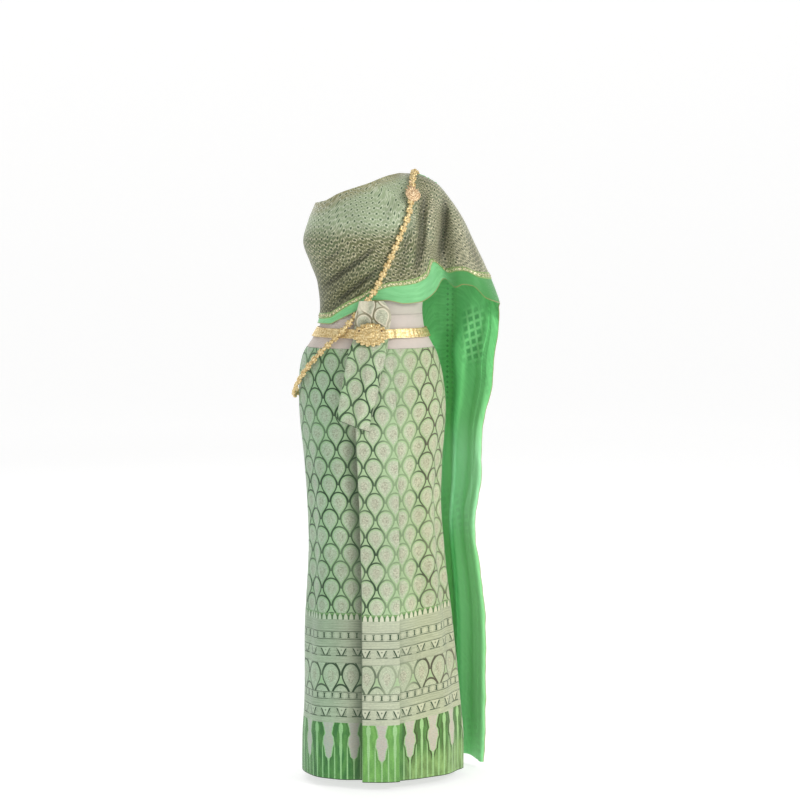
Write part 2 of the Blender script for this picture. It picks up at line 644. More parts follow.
def skirtBorder(finish, u, v, colour, raised):
    # the woven bands above the hem, drawn over the ogee cloth
    colours, sizes = skirtColours, borderSizes
    stripes = (v / 0.0056).near().rise(0.34, 0.46)
    fine = finish.noise(420.0, 1.0, finish.plane(u * 0.08, v)).rise(0.40, 0.62)
    band = finish.over(fine * 0.40, colours["paleBand"], colours["stripe"])
    lowZone, highZone, topZone = (
        v.between(sizes[low], sizes[high], 0.0003)
        for low, high in (("lowTriangles", "lowStripes"), ("highTriangles", "highStripes"),
                          ("highChain", "plainBand"))
    )
    stripedZones = lowZone + highZone + topZone
    band = finish.over(stripedZones * stripes * 0.6, band, colours["stripe"])
    marks = 0.0
    for low, high in (("firstBand", "lowTriangles"), ("middleBand", "highTriangles")):
        dark, pale = triangleRow(u, v, sizes[low], sizes[high], sizes["triangle"])
        band = finish.over(pale * 0.6, band, colours["cream"])
        marks = dark + marks
    for low, high in (("lowStripes", "lowChain"), ("highStripes", "highChain")):
        dark, pale = chainRow(u, v, sizes[low], sizes[high], sizes["chain"])
        band = finish.over(pale * 0.45, band, colours["cream"])
        marks = dark + marks
    for name, strength in borderRules.items():
        marks = marks + (1 - (v - sizes[name]).size().rise(0.0005, 0.0012)) * strength
    broken = 0.62 + finish.noise(60.0, 2.0).rise(0.35, 0.55) * 0.38
    face = finish.x.between(-0.026, 0.057, 0.0015)
    band = finish.over(face * 0.30, band, colours["cream"])
    band = finish.over(marks.least(1.0) * broken, band, colours["line"])
    # one tall row of buds
    middle = (sizes["lowChain"] + sizes["tallRow"]) / 2
    tall, tallRaised = ogeeCloth(
        finish, u, v - middle + sizes["tallRise"] / 2, sizes["tallPitch"], sizes["tallRise"],
        {**colours, "rim": colours["tallRim"]},
    )
    tallZone = v.between(sizes["lowChain"] + 0.0008, sizes["tallRow"] - 0.0006, 0.0003)
    band = finish.over(tallZone, band, tall)
    # pendants over green at the hem
    depth = sizes["drops"] - v
    pitch = sizes["dropPitch"]
    big, bigAway = hangingDrops(finish, u, depth, pitch, 0.0150, bigDropStops)
    small, _ = hangingDrops(finish, u + pitch / 2, depth, pitch, 0.0052, smallDropStops)
    blade, _ = hangingDrops(finish, u + pitch / 4, depth, pitch / 2, 0.0019, bladeStops)
    streak = finish.noise(90.0, 3.0, finish.plane(u, v * 0.3)).rise(0.35, 0.65)
    front = finish.x.between(-0.028, 0.058, 0.008)
    left = finish.x.rise(0.055, 0.085)
    ground = finish.over(streak * 0.40 + front * 0.60, colours["dropGround"], colours["dropLight"])
    ground = finish.over(left * (0.80 - streak * 0.5), ground, colours["dropOlive"])
    lime = left * depth.rise(0.060, 0.105) * (0.35 + streak * 0.5)
    ground = finish.over(lime, ground, colours["dropLime"])
    ground = finish.over((blade * depth.rise(0.036, 0.052)).most(small), ground, colours["dropLine"])
    stroke = bigAway.between(0.0002, 0.0036, 0.0008) * (left * 0.7 + 0.2) * (1 - depth.rise(0.085, 0.105))
    ground = finish.over(stroke, ground, colours["dropDark"])
    ground = finish.over(big, ground, colours["dropLine"])
    body = (1 - bigAway.rise(-0.0026, -0.0014)) * (1 - depth.rise(0.078, 0.086))
    flecks = finish.cells(finish.plane(u, v), 480.0)
    ground = finish.over(body, ground, colours["drop"])
    ground = finish.over(body * flecks.rise(0.5, 0.8) * 0.45, ground, colours["heart"])
    band = finish.over(v.rise(sizes["drops"] - 0.0006, sizes["drops"] + 0.0006), ground, band)
    petals = toothRow(u, v, sizes["plainBand"], sizes["teeth"], sizes["tooth"])
    edgeLine = v.rise(sizes["teeth"] - 0.0050, sizes["teeth"] - 0.0034)
    toothCloth = finish.over(edgeLine, colours["tooth"], colours["toothLine"])
    toothCloth = finish.over(petals, toothCloth, colours["cream"])
    band = finish.over(v.between(sizes["plainBand"], sizes["teeth"], 0.0003), band, toothCloth)
    isBorder = 1 - v.rise(sizes["teeth"] - 0.0004, sizes["teeth"] + 0.0004)
    borderRaised = (big + small + blade).least(1.0) * 0.6 + tallRaised * tallZone - marks * 0.4
    return finish.over(isBorder, colour, band), raised * (1 - isBorder) + borderRaised * isBorder


shawlColours = {
    "ground": tone(104, 108, 68), "ring": tone(226, 218, 184), "dot": tone(44, 56, 32),
    "mint": tone(160, 176, 140), "mintRing": tone(222, 228, 204), "mintDot": tone(70, 96, 66),
    "olive": tone(76, 78, 46), "oliveRing": tone(156, 158, 112), "brown": tone(146, 130, 90),
    "green": tone(88, 118, 78), "armPale": tone(176, 176, 152),
}
shawlRepeat = {"along": 0.0173, "across": 0.0285, "glitter": 330.0}


def shawlBrocade(name):
    # rows of dark dots, each in a broken ring of bright metal thread
    finish = Finish(name)
    colours = shawlColours
    along, across = shawlRepeat["along"], shawlRepeat["across"]
    wobble = finish.noise(34.0, 1.0) * 0.07
    a = finish.u / along + finish.v / across + wobble
    b = finish.u / along - finish.v / across + wobble
    nearA, nearB = a.offset(), b.offset()
    aside, upward = (nearA + nearB) * (along / 2), (nearA - nearB) * (across / 2)
    square = aside * aside + upward * upward + 1e-9
    away = square ** 0.5
    glitter = finish.cells(finish.plane(finish.u, finish.v), shawlRepeat["glitter"])
    fine = finish.noise(520.0, 2.0)
    dot = 1 - away.rise(0.0019, 0.0028)
    four = ((aside * aside - upward * upward) / square).size()
    ring = away.between(0.0033, 0.0058, 0.0006) * (0.12 + four * four * 0.88) * (0.55 + glitter * 0.45)
    rim = nearA.size().most(nearB.size()) * 2.0
    corner = (1 - nearA.size() * 2.0).most(1 - nearB.size() * 2.0)
    star = 1 - corner.rise(0.16, 0.28)
    gap = rim.rise(0.76, 0.90) * (1 - star)
    # zones of the dyed and metallic threads
    arm = finish.x.rise(0.085, 0.160)
    high = finish.z.rise(0.190, 0.245) * (1 - finish.x.rise(0.060, 0.110))
    front = 1 - finish.y.rise(-0.03, 0.03)
    low = (1 - finish.z.rise(0.085, 0.195)) * (1 - finish.x.rise(-0.035, 0.045)) * front
    topEdge = 1 - finish.down.rise(0.04, 0.15)
    patches = finish.noise(14.0, 2.0).rise(0.40, 0.62)
    colour = finish.over(patches * 0.40, colours["ground"], colours["green"])
    colour = finish.over(arm * 0.40, colour, colours["armPale"])
    colour = finish.over(high, colour, colours["mint"])
    colour = finish.over(low * 0.80, colour, colours["olive"])
    colour = finish.over(topEdge * 0.60, colour, colours["brown"])
    colour = finish.over(gap * (0.30 - high * 0.15), colour, colours["dot"])
    ringColour = finish.over(high, colours["ring"], colours["mintRing"])
    ringColour = finish.over(low * 0.7, ringColour, colours["oliveRing"])
    bright = ring + star * 0.7 * (0.4 + glitter * 0.6) + glitter.rise(0.84, 0.92) * 0.45
    colour = finish.over(bright.least(1.0) * (0.80 + arm * 0.15), colour, ringColour)
    dotColour = finish.over(high, colours["dot"], colours["mintDot"])
    colour = finish.over(dot * 0.92, colour, dotColour)
    colour = finish.scaled(colour, (0.88 + fine * 0.24) * (1 - finish.sunk * 0.50))
    height = ring * 0.6 + star * 0.5 - dot * 0.6 + glitter * 0.5
    return finish.finish(
        colour, 0.50 - bright * 0.20, height, 0.0008, bright * 0.25,
        Sheen_Weight=0.15, Sheen_Roughness=0.4, Specular_IOR_Level=0.5,
    )


satinColours = {
    "face": tone(136, 212, 146), "deep": tone(92, 176, 104), "rim": tone(168, 146, 92),
    "goldGround": tone(120, 150, 88), "goldThread": tone(180, 190, 136), "goldDark": tone(92, 96, 56),
    "goldBright": tone(228, 220, 182), "goldRule": tone(150, 190, 106), "arm": tone(50, 138, 56),
}


def satinEdge(name):
    # plain woven border with a brown-gold selvedge
    finish = Finish(name)
    streak = finish.noise(160.0, 2.0, finish.plane(finish.u * 0.15, finish.v))
    cloud = finish.noise(12.0, 2.0)
    shade = streak.rise(0.3, 0.7) * 0.35 + cloud.rise(0.4, 0.7) * 0.25
    colour = finish.over(shade, satinColours["face"], satinColours["deep"])
    colour = finish.over(finish.x.rise(0.150, 0.190) * 0.85, colour, satinColours["arm"])
    colour = finish.over((1 - finish.v.rise(0.0012, 0.0024)) * 0.8, colour, satinColours["rim"])
    height = finish.weave(0.0009) * 0.35 + streak * 0.3
    return finish.finish(
        colour, 0.42, height, 0.0003, 0.0,
        Sheen_Weight=0.4, Sheen_Roughness=0.35, Sheen_Tint=tone(220, 255, 220), Specular_IOR_Level=0.5,
    )


def goldWeave(name):
    # border of gold thread: running flowers between two bright rules
    finish = Finish(name)
    colours = satinColours
    glitter = finish.cells(finish.plane(finish.u, finish.v), 420.0)
    fine = finish.noise(500.0, 2.0)
    across = finish.down.rise(0.868, 0.912)
    wander = finish.noise(90.0, 2.0) * 0.5
    petal = ((finish.u / 0.012 + wander).near() * 2.2) ** 2.0 + ((across - 0.5) * 1.9) ** 2.0
    rule = 1 - (across - 0.5).size().rise(0.42, 0.46)
    flower = petal.between(0.10, 0.62, 0.10)
    heart = 1 - petal.rise(0.03, 0.07)
    shine = glitter.rise(0.25, 0.60)
    colour = finish.over(shine * 0.65, colours["goldGround"], colours["goldThread"])
    colour = finish.over(flower * glitter.rise(0.15, 0.45), colour, colours["goldBright"])
    colour = finish.over((1 - rule) * 0.5, colour, colours["goldRule"])
    colour = finish.over(heart * 0.55, colour, colours["goldDark"])
    gaps = (1 - flower) * rule * (1 - glitter.rise(0.20, 0.40))
    colour = finish.over(gaps * 0.55, colour, colours["goldDark"])
    colour = finish.scaled(colour, 0.88 + fine * 0.24)
    height = glitter * 0.7 + flower * 0.5 + (1 - rule) * 0.5
    return finish.finish(colour, 0.46, height, 0.0008, shine * 0.30, Specular_IOR_Level=0.5)


reverseNet = {"along": 0.0180, "across": 0.0148, "slant": 0.40, "lean": 0.14}
reverseColours = {
    "face": tone(118, 218, 130), "deep": tone(20, 156, 62), "square": tone(40, 126, 62),
    "thread": tone(150, 220, 152), "worn": tone(168, 246, 172), "bright": tone(186, 255, 206),
}


def shawlReverse(name):
    # the wrong side of the brocade: bright green, its lattice showing in places
    finish = Finish(name)
    colours = reverseColours
    gridA = ((finish.z - finish.x * reverseNet["slant"]) / reverseNet["along"]).near() * 2.0
    gridB = ((finish.x + finish.z * reverseNet["lean"]) / reverseNet["across"]).near() * 2.0
    square = (1 - gridA.rise(0.48, 0.60)) * (1 - gridB.rise(0.54, 0.66))
    thread = gridA.rise(0.78, 0.88).most(gridB.rise(0.74, 0.84))
    upper = finish.z.between(-0.080, 0.036, 0.022) * finish.x.between(0.206, 0.246, 0.012)
    shown = finish.noise(6.0, 1.0).rise(0.50, 0.66) * 0.12
    small = ((finish.x / 0.0120).near() + (finish.z / 0.0120).near()).rise(0.34, 0.26)
    valley = finish.x.between(0.162, 0.180, 0.004) * finish.z.between(-0.17, 0.10, 0.03) * 0.5
    dark = finish.down.between(0.50, 0.63, 0.035) * (1 - finish.z.rise(0.02, 0.10))
    middle = finish.down.between(0.30, 0.50, 0.03)
    worn = (1 - finish.z.rise(-0.30, -0.05)) * (1 - dark) * (0.70 + middle * 0.3)
    streak = finish.noise(140.0, 2.0, finish.plane(finish.u, finish.v * 0.15))
    colour = finish.over(streak.rise(0.35, 0.65) * 0.22, colours["face"], colours["deep"])
    colour = finish.over(worn * 0.75, colour, colours["worn"])
    colour = finish.over(dark * 0.42, colour, colours["deep"])
    colour = finish.over(finish.z.between(-0.47, -0.25, 0.05) * 0.40, colour, colours["bright"])
    colour = finish.over(thread * upper * 0.60, colour, colours["thread"])
    colour = finish.over((square * (upper * 0.62 + shown)).most(small * valley), colour, colours["square"])
    trim = (1 - finish.v.rise(0.0020, 0.0034)) * 0.75
    colour = finish.over(trim, colour, satinColours["rim"])
    height = finish.weave(0.0010) * 0.3 + streak * 0.3 + square * 0.3
    return finish.finish(
        colour, 0.46, height, 0.0004, 0.0,
        Sheen_Weight=0.4, Sheen_Roughness=0.35, Sheen_Tint=tone(200, 255, 200), Specular_IOR_Level=0.45,
    )


def whiteCotton(name):
    finish = Finish(name)
    cloud = finish.noise(30.0, 3.0)
    roll = finish.z.rise(0.031, 0.037)
    cloth = finish.over(roll, tone(220, 208, 198), tone(206, 200, 186))
    colour = finish.over(cloud.rise(0.35, 0.70) * 0.4, cloth, tone(198, 192, 182))
    fold = 1 - (finish.z - 0.034).size().rise(0.0006, 0.0022)
    colour = finish.over(fold * 0.35, colour, tone(128, 124, 110))
    height = finish.weave(0.0012) * 0.4 + finish.noise(300.0, 2.0) * 0.5
    return finish.finish(colour, 0.8, height, 0.0004, 0.0, Sheen_Weight=0.2)


def bodiceSatin(name):
    finish = Finish(name)
    streak = finish.noise(120.0, 2.0, finish.plane(finish.u, finish.v * 0.2))
    colour = finish.over(streak.rise(0.3, 0.7) * 0.4, tone(206, 224, 206), tone(182, 206, 184))
    height = finish.weave(0.0010) * 0.3 + streak * 0.4
    return finish.finish(colour, 0.5, height, 0.0003, 0.0, Sheen_Weight=0.35)


# metal and stone finishes

def goldMetal(name, bright, deep, roughness):
    finish = Finish(name)
    patina = finish.noise(260.0, 3.0)
    worn = finish.noise(40.0, 2.0)
    colour = finish.over(patina.rise(0.36, 0.64) * 0.75, bright, deep)
    rough = roughness + worn * 0.18
    return finish.finish(colour, rough, patina * 0.6 + worn * 0.4, 0.0005, 0.9)


def stoneFinish(name, colour):
    finish = Finish(name)
    cloud = finish.noise(400.0, 2.0)
    return finish.finish(finish.scaled(colour, 0.8 + cloud * 0.4), 0.12, None, 0.0, 0.0, Coat_Weight=0.6)


def threadFinish(name, colour):
    finish = Finish(name)
    return finish.finish(finish.scaled(colour, 0.9 + finish.noise(900.0, 1.0) * 0.2), 0.6, None, 0.0, 0.0)


# cloth made round the figure

def lifted(grid, normal, lift):
    return grid + normal * lift[..., None]


def openedSeams(part, first=True, last=True):
    # a panel drawn back from its seams by half the gap between two panels
    part = part.copy()
    if first:
        part[0] += layers["seam"] / 2 * unit(part[1] - part[0])
    if last:
        part[-1] += layers["seam"] / 2 * unit(part[-2] - part[-1])
    return part


def clothMap(grid, middle):
    # flat place of every point in metres: along from the middle row, across from column 0
    along = runLength(grid, 0)
    along = along - along[middle]
    return np.stack([along, runLength(grid, 1)], axis=-1)


def addPanels(name, whole, seam, middles, finish, lining, creases, wall, flats):
    # a tube in two panels, front and back, that share points and normals at the side seams
    normal = gridNormals(whole, closed=True, level=True)
    around, aroundNormal = closedUp(whole), closedUp(normal)
    made = []
    sides = (("front", 0, seam, middles[0]), ("back", seam, len(whole), middles[1]))
    for (side, first, last, middle), flat in zip(sides, flats):
        part = around[first:last + 1]
        facing = aroundNormal[first:last + 1]
        flatPlace = clothMap(part, middle - first)
        seamFade = ease(0.0, 0.012, runLength(part, 0)) * ease(0.0, 0.012, runLength(part[::-1], 0)[::-1])
        lift = creased(creases[side], flatPlace[..., 0], part[..., 2]) * seamFade
        part = openedSeams(lifted(part, facing, lift))
        faces = [(finish, part.shape[1] - 1)]
        mesh = sheetMesh(f"{name}_{side}_cloth", part, facing, wall, flatPlace, faces, lining)
        piece = addPiece(mesh.name, mesh, (f"{name}_{side}",))
        sayCut(piece, flatPlace)
        made.append((part, facing))
    return made


# distances of the layers from the figure
layers = {"bodice": -0.0060, "waistband": -0.0010, "shawl": 0.0046, "belt": 0.0042, "seam": 0.0001}

skirtSizes = {
    "hem": -1.003, "top": -0.0403, "wall": 0.0011, "rows": 110, "leftCells": 84, "rightCells": 92,
    "faceCells": 30, "bendPoints": 9, "backCells": 150, "clothThick": 0.002, "under": 0.020, "dip": 0.0120,
    "flatFront": (0.56, 0.97), "flatBack": (0.46, 0.97),
}
pleatColumns = ("height", "leftEdge", "rightEdge", "air")
pleatRows = (
    (-1.010, -0.024, 0.057, 0.0032),
    (-0.600, -0.026, 0.056, 0.0032),
    (-0.400, -0.030, 0.054, 0.0030),
    (-0.230, -0.038, 0.052, 0.0026),
    (-0.040, -0.034, 0.040, 0.0010),
)
# soft folds: turns and heights of both ends, half width in degrees, lift
foldColumns = ("turnTop", "turnLow", "top", "low", "width", "lift")
foldRows = (
    (246.0, 238.0, -0.38, -0.92, 10.0, -0.0070),
    (226.0, 220.0, -0.30, -1.10, 9.0, 0.0045),
    (204.0, 206.0, -0.12, -0.80, 9.0, -0.0040),
    (312.0, 308.0, -0.08, -0.72, 9.0, -0.0075),
    (326.0, 324.0, -0.20, -1.10, 8.0, 0.0045),
    (340.0, 342.0, -0.10, -1.10, 8.0, -0.0050),
    (392.0, 388.0, -0.12, -1.10, 11.0, -0.0065),
    (420.0, 424.0, -0.30, -1.10, 12.0, 0.0060),
    (462.0, 456.0, -0.10, -1.10, 12.0, -0.0060),
    (492.0, 498.0, -0.26, -1.10, 11.0, 0.0055),
    (516.0, 514.0, -0.16, -1.10, 10.0, -0.0050),
)
# creases placed by hand: from and to, as metres round from the middle and heights,
# then half width and lift
skirtCreases = {
    "front": (
        (-0.135, -0.060, -0.205, -0.250, 0.010, 0.0022),
        (-0.118, -0.055, -0.165, -0.330, 0.009, -0.0020),
        (-0.190, -0.180, -0.215, -0.620, 0.016, 0.0024),
        (-0.155, -0.420, -0.180, -0.800, 0.014, -0.0022),
        (-0.125, -0.560, -0.110, -0.940, 0.015, -0.0024),
        (-0.215, -0.640, -0.235, -0.990, 0.016, 0.0026),
        (0.125, -0.060, 0.175, -0.260, 0.010, 0.0022),
        (0.150, -0.300, 0.190, -0.700, 0.014, 0.0022),
        (0.115, -0.350, 0.130, -0.820, 0.013, 0.0020),
        (0.215, -0.240, 0.235, -0.760, 0.015, -0.0022),
        (0.160, -0.700, 0.175, -0.995, 0.014, -0.0024),
        (0.020, -0.480, 0.004, -0.900, 0.016, -0.0010),
        (-0.016, -0.300, -0.010, -0.760, 0.014, 0.0009),
    ),
    "back": (
        (-0.150, -0.060, -0.190, -0.300, 0.011, 0.0022),
        (-0.060, -0.080, -0.085, -0.420, 0.012, -0.0022),
        (0.030, -0.060, 0.050, -0.360, 0.011, 0.0020),
        (0.120, -0.070, 0.165, -0.380, 0.012, -0.0022),
        (-0.120, -0.380, -0.140, -0.820, 0.016, 0.0026),
        (-0.010, -0.420, -0.020, -0.960, 0.015, -0.0026),
        (0.090, -0.440, 0.105, -0.920, 0.016, 0.0024),
        (0.200, -0.380, 0.215, -0.900, 0.015, 0.0022),
        (-0.210, -0.520, -0.225, -0.980, 0.015, -0.0022),
        (0.150, -0.640, 0.160, -0.990, 0.014, -0.0022),
    ),
}


def skirtFold(turn, height):
    total = np.zeros(np.broadcast(turn, height).shape)
    for row in foldRows:
        fold = dict(zip(foldColumns, row))
        share = (fold["top"] - height) / (fold["top"] - fold["low"])
        middle = fold["turnTop"] + np.clip(share, 0, 1) * (fold["turnLow"] - fold["turnTop"])
        body = np.exp(-(((turn - middle) / fold["width"]) ** 2))
        total = total + fold["lift"] * body * ease(0.0, 0.3, share) * (1 - ease(0.85, 1.0, share))
    return total


def pleatSection(height):
    # the skirt front at one height, as turns and lifts from side seam to side seam
    sizes = skirtSizes
    left, right, air = (float(readColumn(pleatRows, pleatColumns, n, height)) for n in pleatColumns[1:])
    bend, fold = air / 2, air / 2 + sizes["clothThick"]
    face, under, last = air + 2 * fold, sizes["under"], sizes["bendPoints"] - 1
    valley = float(frontTurn(left + under, height))
    turns = 180.0 + (valley - 180.0) * np.arange(sizes["leftCells"]) / sizes["leftCells"]
    edge = float(frontTurn(left, height))
    reach = np.where(turns < edge, 11.0, (valley - edge) * 0.5)
    dip = sizes["dip"] * np.exp(-(((turns - edge) / reach) ** 2)) * float(ease(-0.08, -0.30, height))
    section = list(zip(turns.tolist(), (skirtFold(turns, height) - dip).tolist()))
    bends = []
    for k in range(last + 1):
        angle = math.pi * (k / last - 0.5)
        bends.append((left + under + bend * math.cos(angle), bend + bend * math.sin(angle)))
    for k in range(last + 1):
        angle = math.pi * (1.5 - k / last)
        bends.append((left + fold + fold * math.cos(angle), air + fold + fold * math.sin(angle)))
    inner = np.linspace(left + fold, right - fold, sizes["faceCells"] + 1)[1:-1]
    mirrored = [(left + right - x, lift) for x, lift in reversed(bends)]
    for x, lift in bends + [(x, face) for x in inner.tolist()] + mirrored:
        section.append((float(frontTurn(x, height)), lift))
    valley = float(frontTurn(right - under, height))
    turns = valley + (360.0 - valley) * np.arange(1, sizes["rightCells"] + 1) / sizes["rightCells"]
    return section + list(zip(turns.tolist(), skirtFold(turns, height).tolist()))


def makeSkirt(finish, lining):
    sizes = skirtSizes
    heights = np.linspace(sizes["hem"], sizes["top"], sizes["rows"] + 1)
    front = []
    for height in heights:
        section = np.array(pleatSection(height))
        front.append(liftedRing(section[:, 0], np.full(len(section), height), section[:, 1]))
    front = np.array(front).transpose(1, 0, 2)
    backTurns = np.linspace(360.0, 540.0, sizes["backCells"] + 1)
    turns, levels = np.meshgrid(backTurns, heights, indexing="ij")
    back = liftedRing(turns, levels, skirtFold(turns, levels))
    whole = np.concatenate([front, back[1:-1]])
    seam = len(front) - 1
    frontMiddle = sizes["leftCells"] + 2 * sizes["bendPoints"] + sizes["faceCells"] // 2
    middles = (frontMiddle, seam + sizes["backCells"] // 2)
    flats = (sizes["flatFront"], sizes["flatBack"])
    return addPanels("skirt", whole, seam, middles, finish, lining, skirtCreases, sizes["wall"], flats)


# inner top and waistband, both plain tubes
bodiceSizes = {
    "low": 0.004, "high": 0.273, "rise": 0.012, "riseTurn": 205.0, "cells": (40, 200), "wall": 0.0011,
    "flat": (0.35, 0.29),
}
bodiceCreases = {
    "front": (
        (-0.120, 0.240, -0.060, 0.180, 0.010, -0.0012),
        (0.020, 0.120, 0.080, 0.050, 0.010, 0.0012),
    ),
    "back": (
        (-0.090, 0.200, -0.020, 0.130, 0.011, -0.0012),
        (0.060, 0.120, 0.120, 0.050, 0.010, 0.0012),
    ),
}
waistbandSizes = {
    "low": -0.040, "high": 0.066, "cells": (26, 200), "wall": 0.0012, "flat": (0.34, 0.11),
}
waistbandCreases = {
    "front": (
        (-0.160, 0.034, 0.000, 0.033, 0.0030, -0.0022),
        (0.000, 0.033, 0.160, 0.034, 0.0030, -0.0022),
        (-0.150, 0.020, -0.030, 0.016, 0.0035, -0.0012),
        (-0.140, 0.044, -0.020, 0.038, 0.0040, 0.0008),
        (0.020, 0.030, 0.150, 0.034, 0.0035, -0.0012),
        (0.030, 0.014, 0.160, 0.012, 0.0040, 0.0008),
        (-0.160, 0.014, -0.040, 0.010, 0.0030, -0.0008),
    ),
    "back": (
        (-0.140, 0.028, 0.000, 0.034, 0.0035, -0.0010),
        (0.010, 0.020, 0.150, 0.026, 0.0040, 0.0008),
        (-0.120, 0.008, 0.060, 0.006, 0.0035, -0.0008),
    ),
}


def makeTube(name, sizes, finish, creases):
    rows, columns = sizes["cells"]
    turns = np.arange(columns) * 360.0 / columns + 180.0
    turns, share = np.meshgrid(turns, np.linspace(0, 1, rows + 1), indexing="ij")
    lean = np.cos(np.radians(turns - sizes.get("riseTurn", 0.0))).clip(0, 1) ** 2
    top = sizes["high"] + sizes.get("rise", 0.0) * lean
    levels = sizes["low"] + (top - sizes["low"]) * share
    seam = columns // 2
    whole = figurePoint(turns, levels, layers[name])
    middles, flats = (seam // 2, seam + seam // 2), (sizes["flat"], sizes["flat"])
    return addPanels(name, whole, seam, middles, finish, finish, creases, sizes["wall"], flats)


# the shawl: round the back, over the chest and the left shoulder, down to the floor
ridgeColumns = ("share", "x", "height")
ridgeRows = (
    (0.00, 0.059, 0.347),
    (0.09, 0.093, 0.345),
    (0.20, 0.134, 0.329),
    (0.36, 0.175, 0.284),
    (0.50, 0.204, 0.238),
    (0.63, 0.225, 0.193),
    (0.76, 0.247, 0.148),
    (0.89, 0.268, 0.100),
    (1.00, 0.284, 0.056),
)
edgeColumns = ("x", "height")
upperEdge = (
    (-0.132, 0.281),
    (-0.111, 0.285),
    (-0.077, 0.302),
    (-0.009, 0.325),
    (0.032, 0.341),
    (0.059, 0.347),
)
lowerEdge = (
    (-0.12, 0.012),
    (-0.094, 0.0125),
    (-0.078, 0.0205),
    (-0.054, 0.0325),
    (-0.03, 0.045),
    (0, 0.065),
    (0.028, 0.066),
    (0.045, 0.0635),
    (0.069, 0.0583),
    (0.104, 0.0606),
    (0.124, 0.0716),
    (0.137, 0.084),
    (0.158, 0.112),
    (0.1815, 0.0935),
    (0.2, 0.1),
    (0.22, 0.097),
    (0.2375, 0.083),
    (0.251, 0.07),
    (0.284, 0.056),
)
# main creases of the front: x and height of both ends, half width, lift
creaseColumns = ("xTop", "top", "xLow", "low", "width", "lift")
creaseRows = (
    (0.156, 0.300, 0.162, 0.070, 0.017, -0.024),
    (0.132, 0.310, 0.124, 0.110, 0.015, 0.004),
    (-0.012, 0.172, -0.112, 0.074, 0.010, 0.0045),
    (-0.020, 0.140, -0.118, 0.050, 0.009, 0.0050),
    (0.002, 0.116, -0.104, 0.026, 0.008, 0.0035),
    (0.204, 0.220, 0.226, 0.110, 0.016, 0.004),
)
fallColumns = ("height", "inner", "outer", "behind", "fold")
fallRows = (
    (-1.020, 0.112, 0.252, 0.150, 0.020),
    (-0.900, 0.112, 0.256, 0.150, 0.019),
    (-0.700, 0.108, 0.256, 0.142, 0.018),
    (-0.600, 0.106, 0.248, 0.138, 0.017),
    (-0.450, 0.104, 0.230, 0.134, 0.016),
    (-0.350, 0.102, 0.244, 0.132, 0.015),
    (-0.240, 0.098, 0.246, 0.130, 0.014),
    (-0.125, 0.094, 0.262, 0.126, 0.013),
    (-0.057, 0.090, 0.256, 0.120, 0.011),
    (0.010, 0.084, 0.278, 0.112, 0.008),
    (0.060, 0.078, 0.284, 0.106, 0.006),
    (0.150, 0.068, 0.262, 0.102, 0.003),
    (0.350, 0.060, 0.220, 0.092, 0.000),
)
shawlSizes = {
    "topEdge": 0.281, "lowEdge": 0.012, "start": 385.0, "backRows": 60, "frontRows": 132, "fallRows": 190,
    "bandFrom": 0.868, "bandTo": 0.912, "edgeFrom": 0.920, "bandLift": 0.0013, "wall": 0.0011,
    "edgeReach": 3.5, "deepest": 0.0050, "tuck": 0.62, "spread": -0.85, "armSpread": -0.62,
    "notchSpread": -0.95, "notchAt": 0.685, "notchWidth": 0.035, "shoulderRound": 0.055,
    "armDepth": 0.060, "fallClear": 0.006, "sway": 0.3, "wavePhase": 0.12, "drawnIn": 0.42,
    "fallInner": -0.984, "fallOuter": -1.008, "waves": 2.5, "ridgeSteps": 40,
    "knots": ((0.0, 0.0), (0.47, 0.557), (0.75, 0.705), (1.0, 1.0)),
    "flatBack": (0.28, 0.33), "flatFront": (0.33, 0.45), "flatFall": (0.32, 1.26),
}
# fine creases of the front in x and height, and of the back and the fall in metres along
# the cloth and across it from its lower edge
shawlCreases = {
    "front": (
        (0.004, 0.186, -0.106, 0.096, 0.0054, -0.0086),
        (0.010, 0.166, -0.102, 0.070, 0.0060, 0.0040),
        (0.012, 0.140, -0.083, 0.058, 0.0052, -0.0064),
        (-0.018, 0.084, -0.100, 0.034, 0.0060, -0.0030),
        (-0.060, 0.186, -0.112, 0.150, 0.0070, -0.0030),
        (0.116, 0.296, 0.094, 0.128, 0.0080, -0.0100),
        (0.158, 0.296, 0.1515, 0.150, 0.0078, -0.0096),
        (0.136, 0.290, 0.133, 0.160, 0.009, 0.0034),
        (0.204, 0.233, 0.242, 0.129, 0.008, -0.0032),
        (0.186, 0.256, 0.212, 0.140, 0.008, 0.0026),
        (0.0886, 0.245, 0.053, 0.109, 0.010, -0.0030),
        (0.030, 0.106, 0.0886, 0.100, 0.007, -0.0024),
        (0.020, 0.086, 0.110, 0.074, 0.008, 0.0022),
        (0.060, 0.300, 0.020, 0.240, 0.010, -0.0016),
        (-0.060, 0.270, -0.015, 0.215, 0.012, -0.0014),
        (-0.095, 0.230, -0.060, 0.170, 0.010, 0.0014),
    ),
    "back": (
        (-0.330, 0.220, -0.060, 0.160, 0.012, 0.0022),
        (-0.300, 0.150, -0.020, 0.090, 0.010, -0.0018),
        (-0.260, 0.090, -0.040, 0.050, 0.009, 0.0018),
        (-0.200, 0.240, -0.050, 0.215, 0.009, -0.0014),
    ),
    "fall": (
        (0.05, 0.075, 0.75, 0.095, 0.011, 0.0034),
        (0.12, 0.130, 0.90, 0.118, 0.012, -0.0036),
        (0.30, 0.050, 1.15, 0.058, 0.010, -0.0030),
        (0.02, 0.210, 0.60, 0.185, 0.014, 0.0038),
        (0.25, 0.240, 1.10, 0.215, 0.012, -0.0036),
        (0.55, 0.150, 1.30, 0.160, 0.012, 0.0034),
        (0.10, 0.290, 0.85, 0.262, 0.013, 0.0030),
        (0.70, 0.100, 1.30, 0.092, 0.010, -0.0026),
        (0.35, 0.018, 0.62, 0.060, 0.008, -0.0036),
    ),
}


